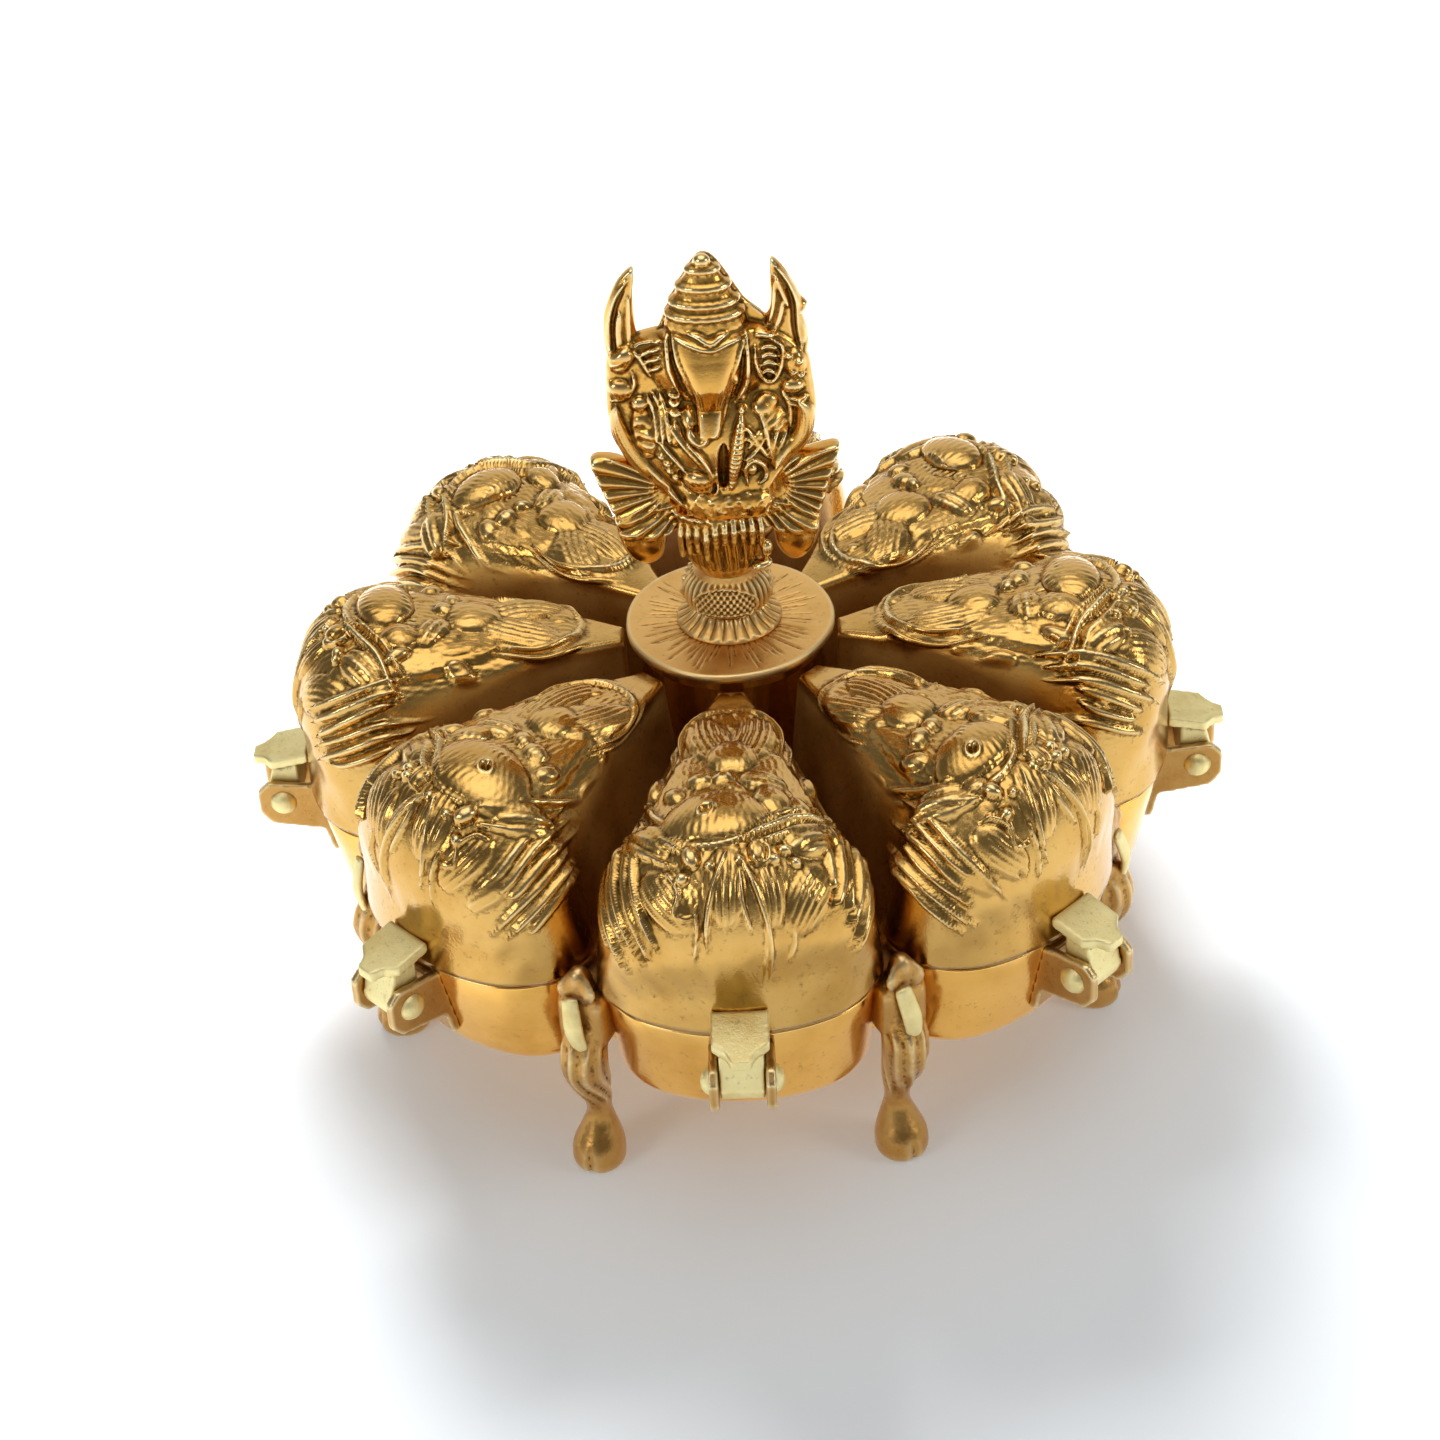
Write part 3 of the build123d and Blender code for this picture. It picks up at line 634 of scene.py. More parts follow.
# Ridges: half width, height and stops; a height below zero is an engraved line
FIGURE_LINES = [
    # Halo, arms and the three lines of the sash on either side
    (0.62, 0.55, [(-8.4, 42), (-8.2, 35), (-4.6, 29.6), (0, 27.8), (4.6, 29.6), (8.2, 35),
                  (8.4, 42)]),
    (0.5, 0.42, [(-10, 43), (-9.8, 34.6), (-5.6, 27.8), (0, 25.8), (5.6, 27.8), (9.8, 34.6),
                 (10, 43)]),
    (0.8, 0.62, [(-17.6, 43), (-15.2, 50), (-12.8, 57), (-9.8, 65)]),
    (0.6, 0.5, [(-18.8, 46), (-17.0, 52), (-14.6, 58)]),
    (0.75, 0.9, [(1.6, 68.8), (6.4, 65.2), (11.0, 60.8), (18.6, 55.2)]),
    (0.55, 0.75, [(2.8, 69.8), (7.6, 66.8), (12.2, 62.4), (19.4, 57.0)]),
    (0.5, 0.7, [(0.8, 67.2), (5.4, 63.8), (9.8, 59.4), (15.6, 54.0)]),
    (0.7, 0.85, [(-19.6, 56.6), (-14.8, 60.4), (-10.8, 66.0), (-7.6, 69.6)]),
    (0.5, 0.7, [(-21.0, 58.6), (-17.8, 62.8), (-12.2, 69.0), (-9.2, 71.4)]),
    (0.5, 0.55, [(-9.6, 57), (-11.4, 62), (-8.4, 67.4), (-2.6, 69.2), (2.6, 67.6), (5.2, 64)]),
    # Scrolls below the belly
    (0.42, 0.72, [(3.2, 72.6), (5.6, 72.0), (5.6, 69.6), (3.8, 69.0), (3.0, 70.4), (4.2, 71.2)]),
    (0.4, 0.62, [(-12.4, 71.4), (-10.4, 72.4), (-9.2, 75.6), (-10.4, 78.6), (-7.2, 80.2)]),
    # Pleats from the waist down the skirt
    (0.6, 0.62, [(-0.6, 70.4), (-2.8, 75), (-5.0, 81), (-6.0, 86)]),
    (0.6, 0.55, [(0.8, 70.6), (4.2, 77), (7.4, 85), (8.8, 95)]),
    (0.45, 0.42, [(2.2, 72.4), (5.2, 78), (6.6, 85), (7.0, 93)]),
    (0.5, 0.5, [(1.2, 73.4), (1.6, 78.4), (3.6, 83.6)]),
    (0.45, 0.45, [(-6.6, 78), (-7.4, 83), (-9.6, 88)]),
    (0.4, 0.4, [(10.6, 80), (12.4, 84), (12.0, 88.6)]),
    # Engraved stamps, spikes and a scratched zigzag on the plain skirt
    (0.5, -0.34, [(-12.4, 81.6), (-12.0, 87), (-12.9, 93)]),
    (0.5, -0.3, [(-10.2, 82), (-9.4, 87), (-10.0, 91)]),
    (0.4, -0.24, [(-7.6, 83.4), (-5.6, 86), (-4.6, 89.4)]),
    (0.35, -0.2, [(-6.2, 83), (-3.6, 85), (-1.6, 88.2)]),
    (0.3, -0.2, [(-8, 83.0), (-2.4, 85.6), (2.0, 82.6)]),
    (0.4, -0.14, [(-21.4, 82.2), (-19.2, 83.6), (-16.8, 82.4), (-15.4, 84.0)]),
    (0.4, -0.14, [(-21.8, 85.2), (-19.4, 86.6), (-17.6, 85.2), (-15.8, 86.8)]),
    (0.4, -0.14, [(-20.6, 88.6), (-18.8, 89.9), (-16.6, 88.8)]),
    (0.4, -0.14, [(-19.0, 82.8), (-18.0, 85.4), (-19.2, 88.4), (-17.6, 91)]),
]
# Drapery line that ends the chasing above the plain band: x and y
HEM_LINE = [
    (-46, 84), (-30, 88), (-18, 93.4), (-6, 97.2), (2, 96.4), (9, 93.2), (17, 90.4), (24, 86),
    (46, 80),
]

# How each lid departs from the front one: mirrored, shift, scatter and size of its belly
LID_LOOKS = {
    1: (1, 0.0, 0.0, 1.0), 2: (1, -2.2, 1.1, 0.9), 3: (-1, 0.6, 1.5, 0.85), 4: (-1, -0.8, 1.8, 0.8),
    5: (1, 0.4, 1.6, 0.9), 6: (-1, 0.5, 1.9, 0.8), 7: (1, -0.6, 1.5, 0.85), 8: (-1, 1.6, 1.1, 1.15),
}


def seated_relief(x, y, number):
    """Seated figure with halo, arms, belly, sash and skirt, between 0 and 1: the highest of
    its bosses and ridges, scattered a little on each lid. The head points to the tip."""
    side, shift, scatter, belly = LID_LOOKS[number]
    random = np.random.default_rng(70 + number)
    x = (x - shift) * side
    relief = np.zeros_like(x)
    cuts = np.zeros_like(x)
    for cx, cy, rx, ry, turn, height in FIGURE_BOSSES:
        grow = belly if rx > 8 else random.uniform(1 - 0.1 * scatter, 1 + 0.1 * scatter)
        relief = np.maximum(relief, dome(
            x, y, cx + random.normal(0, 0.5) * scatter, cy + random.normal(0, 0.5) * scatter,
            rx * grow, ry * grow, turn + random.normal(0, 6) * scatter, height))
    for cx, cy, rx, ry, turn, spacing, bend, height in FIGURE_RIBS:
        relief = np.maximum(relief, ribbed(
            x, y, cx + random.normal(0, 0.7) * scatter, cy + random.normal(0, 0.7) * scatter,
            rx, ry, turn + random.normal(0, 7) * scatter, 0.8 * spacing, bend, height, 0.36))
    for width, height, stops in FIGURE_LINES:
        moved = np.array(stops, float) + random.normal(0, 0.5, 2) * scatter
        line = ridge(x, y, moved, width, height)
        relief, cuts = np.maximum(relief, line), np.minimum(cuts, line)
    # Flutes that run down both corners of the lid and fade out
    for flute in range(6):
        for edge, reach in ((-1, 86.0), (1, 82.0)):
            out = edge * (17.0 + 2.2 * flute)
            wander, start = random.uniform(-1, 1), random.uniform(50, 60)
            stops = [(out - 1.6 * edge, start), (out + 0.5 * wander, 64), (out + edge * 0.6, 71),
                     (out - wander, reach - random.uniform(0, 12))]
            width, height = random.uniform(0.7, 1.15), random.uniform(0.45, 0.85)
            relief = np.maximum(relief, ridge(x, y, stops, width, height))
    if scatter < 1.2:
        # Navel: a raised ring round a punched dot
        out = np.hypot(x + 3.6, y - 63.2)
        rim, dot = np.exp(-((out - 1.25) / 0.35) ** 2), np.exp(-(out / 0.6) ** 2)
        relief = relief + 0.22 * rim - 0.9 * dot
    return relief + cuts


def ground_relief(x, y, seed, figure):
    """Leaves and buds crowded round the figure: seeded bosses that keep to low ground."""
    random = np.random.default_rng(seed)
    result = np.zeros_like(x)
    for _ in range(40):
        cx, cy = random.uniform(-24, 24), random.uniform(26, 72)
        size = random.uniform(0.8, 2.0)
        result = np.maximum(result, dome(x, y, cx, cy, size * random.uniform(1, 2.4), size,
                                         random.uniform(-80, 80), random.uniform(0.10, 0.26)))
    return result * (1 - smoothstep(figure, 0.1, 0.3))


def lid_chasing(x, y, number, sizes):
    """Height of the chasing in mm at places on the unrolled lid: the masses of halo, body and
    skirt, the figure and its leaves, and tool marks that are products of two sine waves. All
    of it fades out at the plain band below the hem and toward the tip."""
    figure = seated_relief(x, y, number)
    height = np.maximum(figure, ground_relief(x, y, 40 + number, figure))
    hair = np.sin(x * 5.2 + 2.2 * np.sin(y * 0.45 + number)) * np.sin(y * 0.9 + x * 0.3)
    stipple = np.sin(x * 3.7 + number) * np.sin(y * 3.3 - number)
    marks = (0.22 * hair + 0.12 * stipple) * (1 - 0.8 * smoothstep(y, 72, 82))
    side = LID_LOOKS[number][0]
    hem = np.interp(x * side, *np.array(HEM_LINE).T) + 0.5 * np.sin(x * 0.9 + number)
    halo = 1 - smoothstep(np.hypot(x, y - 35.0), 7.0, 10.0)
    body = (smoothstep(y, 39, 42) * (1 - smoothstep(np.abs(x) - 0.5 * (y - 40), 7, 9.5))
            * (1 - smoothstep(np.abs(x), 13, 16)))
    skirt = smoothstep(y, 55, 60)
    mass = sizes.mass / MM * np.maximum.reduce([halo, body, skirt])
    above = (1 - smoothstep(y, hem - 9.0, hem + 1.0)) * smoothstep(y, 25.0, 30.0)
    return (mass + height * sizes.relief / MM + marks * sizes.engraving / MM) * above


def build_lid(number, sizes, material):
    """Chased lid: outer skin with its relief, rounded rim and plain inner skin in one grid."""
    outer, from_ridge, low, middle = lid_skin(0.0, *OUTER_ROWS)
    inner = lid_skin(LID_WALL, *INNER_ROWS)[0]
    away = low - middle
    span = np.linalg.norm(away, axis=1)
    way = away / np.maximum(span, 1e-9)[:, None]
    x = middle[:, 1] + way[:, 1] * from_ridge
    y = middle[:, 0] + way[:, 0] * from_ridge
    # The plain side walls start where the skin is further from the ridge than the rim in plan
    below_crease = smoothstep(from_ridge - span, CREASE_FROM, CREASE_TO)
    side_wall = 1 - smoothstep(low[:, 0], PLAIN_FROM, PLAIN_TO)
    chased = lid_chasing(x, y, number, sizes) * (1 - side_wall * below_crease)
    grid = np.vstack([inner[::-1], outer])
    lift = np.vstack([np.zeros(inner.shape[:2]), chased])
    points, quads = surface(turned(grid, petal_angle(number)))
    merged, whole, slim, index = welded(points, quads)
    if volume_sign(merged, whole, slim) < 0:
        whole, slim = whole[:, ::-1], slim[:, ::-1]
    height, as_cast = np.zeros(len(merged)), np.zeros(len(merged))
    height[index] = lift.reshape(-1)
    # A buffing wheel reaches neither the inside nor the walls between two lids
    as_cast[index] = np.vstack([np.ones(inner.shape[:2]), side_wall * below_crease]).reshape(-1)
    merged = merged + vertex_normals(merged, whole, slim) * height[:, None]
    piece = finished(f"chased_lid_{number}", merged, whole, slim, as_cast)
    mount(piece, f"lid_{number}_body", f"lid_{number}", material)


def cup_levels(wall, levels):
    """Cup loops: the outline drawn in by the draft, at each height of the levels."""
    rows = []
    for height, extra in levels:
        reach = CUP_REACH - (CUP_RIM - height) * tan(CUP_DRAFT) - wall - extra
        loop = petal_loop(reach, PETAL_INSET + wall + extra * 0.8, CUP_TIP + wall + extra,
                          max(CORNER_RADIUS - wall - extra, SMALLEST_CORNER),
                          END_RADIUS - wall - extra)
        rows.append(np.column_stack([loop, np.full(len(loop), height)]))
    return rows


def build_cup(number, material):
    """Cast cup in one grid: petal outlines drawn in by a quarter circle at the foot, by the
    draft up the wall, over an eased rim, and down again inside to a rounded floor."""
    angles = np.linspace(0, pi / 2, 8)
    low, high = CUP_FOOT + CUP_FOOT_ROUND, CUP_RIM - CUP_LIP
    outside = [(CUP_FOOT + CUP_FOOT_ROUND * (1 - sin(a)), CUP_FOOT_ROUND * (1 - cos(a)))
               for a in angles[::-1]]
    outside += [(low + share * (high - low), 0.0) for share in np.linspace(0.1, 1, 4)]
    outside += [(CUP_RIM - 0.12, 0.12), (CUP_RIM, CUP_LIP)]
    inside = [(CUP_RIM, -CUP_LIP), (CUP_RIM - 0.12, -0.12), (high, 0.0)]
    floor = CUP_FOOT + CUP_WALL
    inside += [(high - share * (high - floor - CUP_FLOOR_ROUND), 0.0)
               for share in np.linspace(0.1, 1, 4)]
    inside += [(floor + CUP_FLOOR_ROUND * (1 - sin(a)), CUP_FLOOR_ROUND * (1 - cos(a)))
               for a in angles]
    rows = cup_levels(0.0, outside) + cup_levels(CUP_WALL, inside)
    closing = []
    for row, tip in ((rows[0], CUP_TIP), (rows[-1], CUP_TIP + CUP_WALL + CUP_FLOOR_ROUND)):
        spine = spine_of(row[:, :2], tip)
        closing.append(np.column_stack([spine, np.zeros(len(row)), row[:, 2]]))
    grid = np.stack(closing[:1] + rows + closing[1:])
    as_cast = 1 - smoothstep(grid[..., 0], PLAIN_FROM, PLAIN_TO)
    piece = solid(f"cast_cup_{number}", surface(turned(grid, petal_angle(number))), as_cast)
    mount(piece, "root", f"cup_{number}", material)


def softened(node, name, voxel):
    """Copy of a CAD node as a filed or cast piece, its edges eased by a fine remesh."""
    points, _, triangles = mesh_arrays(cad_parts[node].data)
    merged, whole, slim, _ = welded(points, np.hstack([triangles, triangles[:, :1]]))
    faces = np.vstack([slim, corner_triangles(whole, np.empty((0, 3), int))])
    return casting(name, merged, np.empty((0, 4), int), faces, voxel)


# Hinge pin: radius and way along the axis, from one domed head to the other
PIN_HALF = 5.5
PIN_HEAD_END = [(2.5, 0.0), (2.5, 0.1), (2.0, 0.8), (1.2, 1.35), (0.0, 1.5)]
PIN_SHAFT_RADIUS = 1.6


def build_pin(number, material):
    """Hinge pin: a turned shaft with a domed, hammered head on each end, along its axis."""
    head = [(radius, PIN_HALF + out) for radius, out in PIN_HEAD_END]
    profile = [(radius, -along) for radius, along in head[::-1]]
    profile += [(PIN_SHAFT_RADIUS, -PIN_HALF), (PIN_SHAFT_RADIUS, PIN_HALF)] + head
    points, quads = lathe(profile, None, 32)
    radius, across, along = points[:, 0], points[:, 1], points[:, 2]
    pin_height = (foot_of(f"hinge_pin_{number}") + top_of(f"hinge_pin_{number}")) / 2
    placed = np.column_stack([PIN_REACH + radius, along, pin_height + across])
    piece = solid(f"peened_pin_{number}", (turned(placed, petal_angle(number)), quads))
    mount(piece, "root", f"hinge_pin_{number}", material)


# Leg along +X: reach, half depth, half width and height of its sections, from the hoof up
LEG_STATIONS = [
    (69.6, 4.6, 4.4, 0.0), (69.8, 5.1, 4.7, 1.8), (69.6, 4.8, 4.5, 4.4), (68.8, 3.6, 3.4, 7.2),
    (68.2, 2.4, 2.3, 10.4), (68.6, 2.6, 2.5, 14.0), (70.2, 3.6, 3.2, 18.5), (71.8, 4.4, 3.7, 23.5),
    (71.8, 4.3, 3.8, 28.0), (69.5, 4.2, 3.8, 33.0),
]


def leg_patches():
    """Cast leg along +X: hoof, ankle, thigh, yoke and bud. The sections of the shaft are
    ellipses whose radii also swing with a sine of nine waves, as hair, that winds upward;
    a narrow bell curve cuts the cleft of the hoof."""
    rows, columns = 90, 72
    stations = smooth_path(LEG_STATIONS, rows)
    angle = np.linspace(0, 2 * pi, columns, endpoint=False)[None, :]
    reach, depth, width, height = (stations[:, k][:, None] for k in range(4))
    hair = smoothstep(height, 12, 16) * (1 - smoothstep(height, 29, 32))
    groove = 0.36 * hair * np.sin(9 * angle + 0.35 * height + 1.4 * np.sin(height * 0.35))
    cleft = -0.9 * np.exp(-(angle % (2 * pi) / 0.16) ** 2) * (1 - smoothstep(height, 2, 6))
    relief = groove + cleft
    grid = np.stack([reach + (depth + relief) * np.cos(angle), (width + relief) * np.sin(angle),
                     height + 0 * angle], -1)
    shaft = cap_ends(*surface(grid), rows, columns)
    yoke = ball((66.5, 0, 34.0), (6.5, 4.6, 6.0), 0, 5)
    inner_yoke = ball((60.0, 0, 34.0), (9.0, 2.6, 5.6), 0, 6)
    knot = ball((73.8, 0.4, 28.0), (1.6, 2.6, 1.8), 0, 2.4)
    bud = [ball((70.6, 0, 41.4), (2.4, 2.2, 4.2), 12, 2.2)]
    for side in (-1, 1):
        bud.append(limb([(71.8, side * 1.2, 38.8, 1.1, 0.7), (72.6, side * 2.3, 41.4, 1.3, 0.7),
                         (71.6, side * 1.2, 44.6, 0.5, 0.5)], facing=(1, 0, 0)))
    return [shaft, yoke, inner_yoke, knot] + bud


def plate_patch():
    """Filed plate set aslant on the front of a leg, along +X."""
    stations = [(74.2, 0.8, 29.4, 1.4, 0.7), (74.9, 0.1, 34.4, 1.8, 0.8),
                (73.4, -1.0, 40.4, 1.6, 0.7)]
    return limb(stations, 40, 28, bluntness=12, facing=(1, 0, 0.2))


def plaque(outline, centre, front, back, rows, columns, edge):
    """Cast plate in the x-z plane: places on straight lines from its centre to its smooth
    outline, the front pushed out by its relief and both faces rounded off at the edge."""
    loop = smooth_path(list(outline) + [outline[0]], columns + 1)[:-1]
    share = np.linspace(0, 1, rows)[:, None, None]
    flat = np.array(centre) + share * (loop - np.array(centre))
    gap = (1 - share[..., 0]) * np.linalg.norm(loop - np.array(centre), axis=1)
    rounding = np.sqrt(1 - np.clip(1 - gap / edge, 0, 1) ** 2)
    x, z = flat[..., 0], flat[..., 1]
    before = np.stack([x, -front(x, z) * rounding, z], -1)
    behind = np.stack([x, back(x, z) * rounding, z], -1)
    return surface(np.vstack([before, behind[::-1]]))


def above_seat(stops):
    """Places across and up, raised from the top of the seat."""
    return [(x, z + SEAT_TOP) for x, z in stops]


def swell(x, y, cx, cy, rx, ry, height):
    """Soft mass: height times one minus the squared distance in radii."""
    return height * np.clip(1 - ((x - cx) / rx) ** 2 - ((y - cy) / ry) ** 2, 0, None)


# Side petals of the seat, left and right, in mm across and up from the top of the seat:
# fans of ribs above, and below them petals that end in a plain rounded lobe
UPPER_PETALS = {
    -1: [(-9.0, 7.2), (-13.9, 8.4), (-18.7, 10.6), (-22.6, 10.4), (-21.9, 6.4), (-20.8, 3.0),
         (-18.6, -1.8), (-14.5, -1.2), (-9.0, -1.5)],
    1: [(7.4, 7.4), (10.4, 9.0), (14.8, 10.4), (20.6, 11.4), (20.0, 8.0), (18.8, 3.8), (16.8, -2.2),
        (12.5, -1.4), (7.0, -1.5)],
}
LOWER_PETALS = {
    -1: [(-6.0, 0.6), (-12.0, 1.6), (-18.6, -1.2), (-19.0, -3.6), (-18.2, -7.4), (-16.4, -10.4),
         (-13.4, -11.2), (-10.9, -9.2), (-10.0, -5.0), (-7.0, -3.4)],
    1: [(5.4, 0.6), (11.0, 1.4), (16.4, -1.4), (17.0, -4.0), (16.0, -8.2), (13.6, -11.2),
        (11.4, -11.5), (9.2, -8.8), (8.4, -4.8), (6.0, -3.4)],
}
# Sets of petals: outlines, middle and root of the ribs for the right one, number of ribs in
# half a turn, and 1 where the petal ends in a lobe
PETAL_SETS = [
    (UPPER_PETALS, (14.2, 4.4), (8.5, 4.0), 13, 0),
    (LOWER_PETALS, (13.2, -4.8), (4.5, 2.0), 15, 1),
]
# Buds and fronds that hang round the stalk: across and lowest point
HANGING = [(-7.6, -9.4), (-6.2, -8.2), (-4.7, -7.4), (-3.1, -9.0), (-1.5, -5.8), (0.2, -5.0),
           (1.8, -5.4), (3.4, -5.0), (5.0, -6.2), (6.6, -7.6)]


def petal_front(side, root, ribs, lobed):
    """Depth of a side petal: ribs are the cosine of the angle round its root, which also turns
    with the distance, and a soft mass fills the lobe below."""
    def front(x, height):
        """Depth at places across and up."""
        z = height - SEAT_TOP
        across, up = x - root[0] * side, z - root[1]
        reach = np.hypot(across, up)
        wave = np.abs(np.cos(ribs * np.arctan2(up, np.abs(across)) + 0.10 * reach)) ** 0.8
        lobe = lobed * smoothstep(-z, 4.2, 5.6)
        return (1.5 + 0.9 * (1 - lobe) * wave * smoothstep(reach, 1.5, 4.5)
                + swell(x, z, 13.4 * side, -6.5, 6, 6, 1.8 * lobed))
    return front


def lotus_petals():
    """Two pairs of side petals, cast as plates."""
    return [plaque(above_seat(outlines[side]), (middle[0] * side, middle[1] + SEAT_TOP),
                   petal_front(side, root, ribs, lobed), lambda x, z: 1.6 + 0 * x, 60, 260, 0.8)
            for side in (-1, 1) for outlines, middle, root, ribs, lobed in PETAL_SETS]


def seat_patches():
    """Lotus seat: a stalk whose radii swing with the cosine of thirteen flutes, side petals
    and a row of hanging buds."""
    rows, columns = 60, 160
    share = np.linspace(0, 1, rows)[:, None]
    angle = np.linspace(0, 2 * pi, columns, endpoint=False)[None, :]
    half_width = 5.3 + 1.0 * smoothstep(share, 0, 0.2) + 1.9 * share ** 1.6
    half_depth = 5.2 + 0.9 * share
    flute = 0.42 * np.abs(np.cos(13 * angle + 0.5 * share)) ** 0.7 * smoothstep(share, 0.02, 0.12)
    grid = np.stack([(half_width + flute) * np.cos(angle) - 0.9 * share,
                     (half_depth + flute) * np.sin(angle),
                     SEAT_FLOOR + (SEAT_TOP - SEAT_FLOOR) * share + 0 * angle], -1)
    patches = [cap_ends(*surface(grid), rows, columns)] + lotus_petals()
    for count, (across, low) in enumerate(HANGING):
        deep = -6.4 + 0.05 * across ** 2
        stations = [(across * 0.92, deep + 0.8, SEAT_TOP + 0.2, 0.5, 0.6),
                    (across, deep - 0.2, SEAT_TOP + low * 0.45, 0.62, 0.7),
                    (across * 0.98, deep + 0.6, SEAT_TOP + low, 0.55, 0.6)]
        patches.append(limb(stations, 30, 12, 3 + count % 3, 0.06))
    patches.append(ball((7.4, -4.2, SEAT_TOP - 7.4), (1.0, 1.0, 1.7), 10))
    patches.append(ball((6.4, -4.6, SEAT_TOP - 10.4), (2.0, 1.4, 1.0), -20))
    return patches


# Seated figure, in mm from the middle of its seat: x across and z up from the seat.
BODY_OUTLINE = [
    (-9.2, 35.2), (-12.5, 34.4), (-15.5, 33.2), (-18.2, 30.5), (-18.7, 27), (-19.0, 21),
    (-18.7, 15.8), (-17.5, 12.4), (-15.8, 9.0), (-13.3, 6.0), (-10.4, 3.2), (-7.6, 0.6),
    (-5.0, -0.6), (1, -0.8), (7.6, -0.6), (8.8, 4.4), (11.4, 7.6), (13.6, 9.8), (15.0, 11.5),
    (16.3, 13.9), (16.9, 16.8), (17.1, 19.6), (16.7, 24.5), (15.9, 29.4), (13, 33), (9.8, 35.0),
    (5.5, 36.4), (-1, 37.4), (-6, 37),
]
BLADES = [
    ([(-12.8, 33.2), (-13.0, 37.1), (-13.0, 41.9), (-12.7, 46.8), (-15.4, 44.7), (-17.3, 41.1),
      (-18.4, 37.1), (-18.3, 31.2), (-16.5, 28.5), (-13.7, 30)], (-15.5, 36.5)),
    ([(8.4, 33.6), (9.3, 37.3), (9.8, 39.7), (10.0, 44.0), (10.3, 47.6), (12.4, 45.6), (14.1, 42.5),
      (15.2, 40.0), (16.2, 38.7), (15.4, 37.0), (16.1, 33.6), (15.8, 29.8), (13.5, 28.5),
      (10, 30.5)], (12.4, 37)),
]
# Masses of the figure: x, z, half width, half height, depth
BODY_MASSES = [(1, 5, 11, 8.5, 4.6), (-0.6, 13.5, 13, 12, 5.0), (-1.0, 30, 10, 10.5, 4.4)]
# Bosses: x, z, half width, half height, turn, depth
BODY_BOSSES = [
    (9.1, 34.6, 1.9, 1.1, 0, 1.3), (-15.5, 31.0, 2.1, 1.9, 20, 1.5),
    (-16.2, 24.8, 2.4, 1.9, -20, 1.5), (13.7, 28.4, 1.9, 2.8, 0, 1.5),
    (12.6, 30.3, 0.8, 0.7, 0, 1.9), (14.3, 29.3, 0.9, 0.7, 0, 2.2), (13.3, 27.3, 0.9, 0.6, 0, 2.1),
    (14.6, 26.6, 0.8, 0.6, 0, 1.9), (13.1, 24.2, 2.0, 1.5, 0, 1.5), (8.4, 21.2, 2.2, 1.9, 0, 1.5),
    (-13.2, 21.9, 1.6, 1.5, 0, 1.4), (-4.8, 20.3, 1.4, 1.9, 0, 1.7),
    (-3.9, 8.2, 2.8, 2.4, -10, 2.2), (-10.1, 12.6, 0.7, 0.7, 0, 1.1),
    (-9.1, 11.3, 0.8, 0.7, 0, 1.1), (-7.6, 8.4, 1.0, 0.9, 0, 1.2), (-8.7, 9.8, 0.8, 0.7, 0, 1.1),
    (4.6, 23.1, 0.6, 0.7, 0, 1.1), (4.2, 21.2, 0.7, 0.7, 0, 1.1), (3.6, 27.8, 0.5, 1.5, 6, 1.1),
    (2.4, 26.7, 0.45, 1.1, 6, 0.9), (-5.0, 28.6, 0.5, 1.4, -14, 1.0), (5.6, 9.7, 0.9, 1.2, 0, 1.0),
    (7.2, 16.1, 0.7, 1.0, 0, 0.8), (-7.2, 17.0, 1.0, 2.0, -12, 0.9),
]
# Ribbed bosses: x, z, half width, half height, turn, spacing, bend, depth
BODY_RIBS = [
    (-12.9, 16.4, 2.0, 5.2, 5, 2.3, 0.14, 1.5), (3.0, 13.6, 1.25, 7.2, -10, 0.95, 0.0, 1.9),
    (10.0, 18.2, 1.9, 3.2, 38, 1.5, 0.06, 1.2), (-16.2, 30.2, 1.7, 2.2, 14, 1.2, 0.1, 1.5),
]
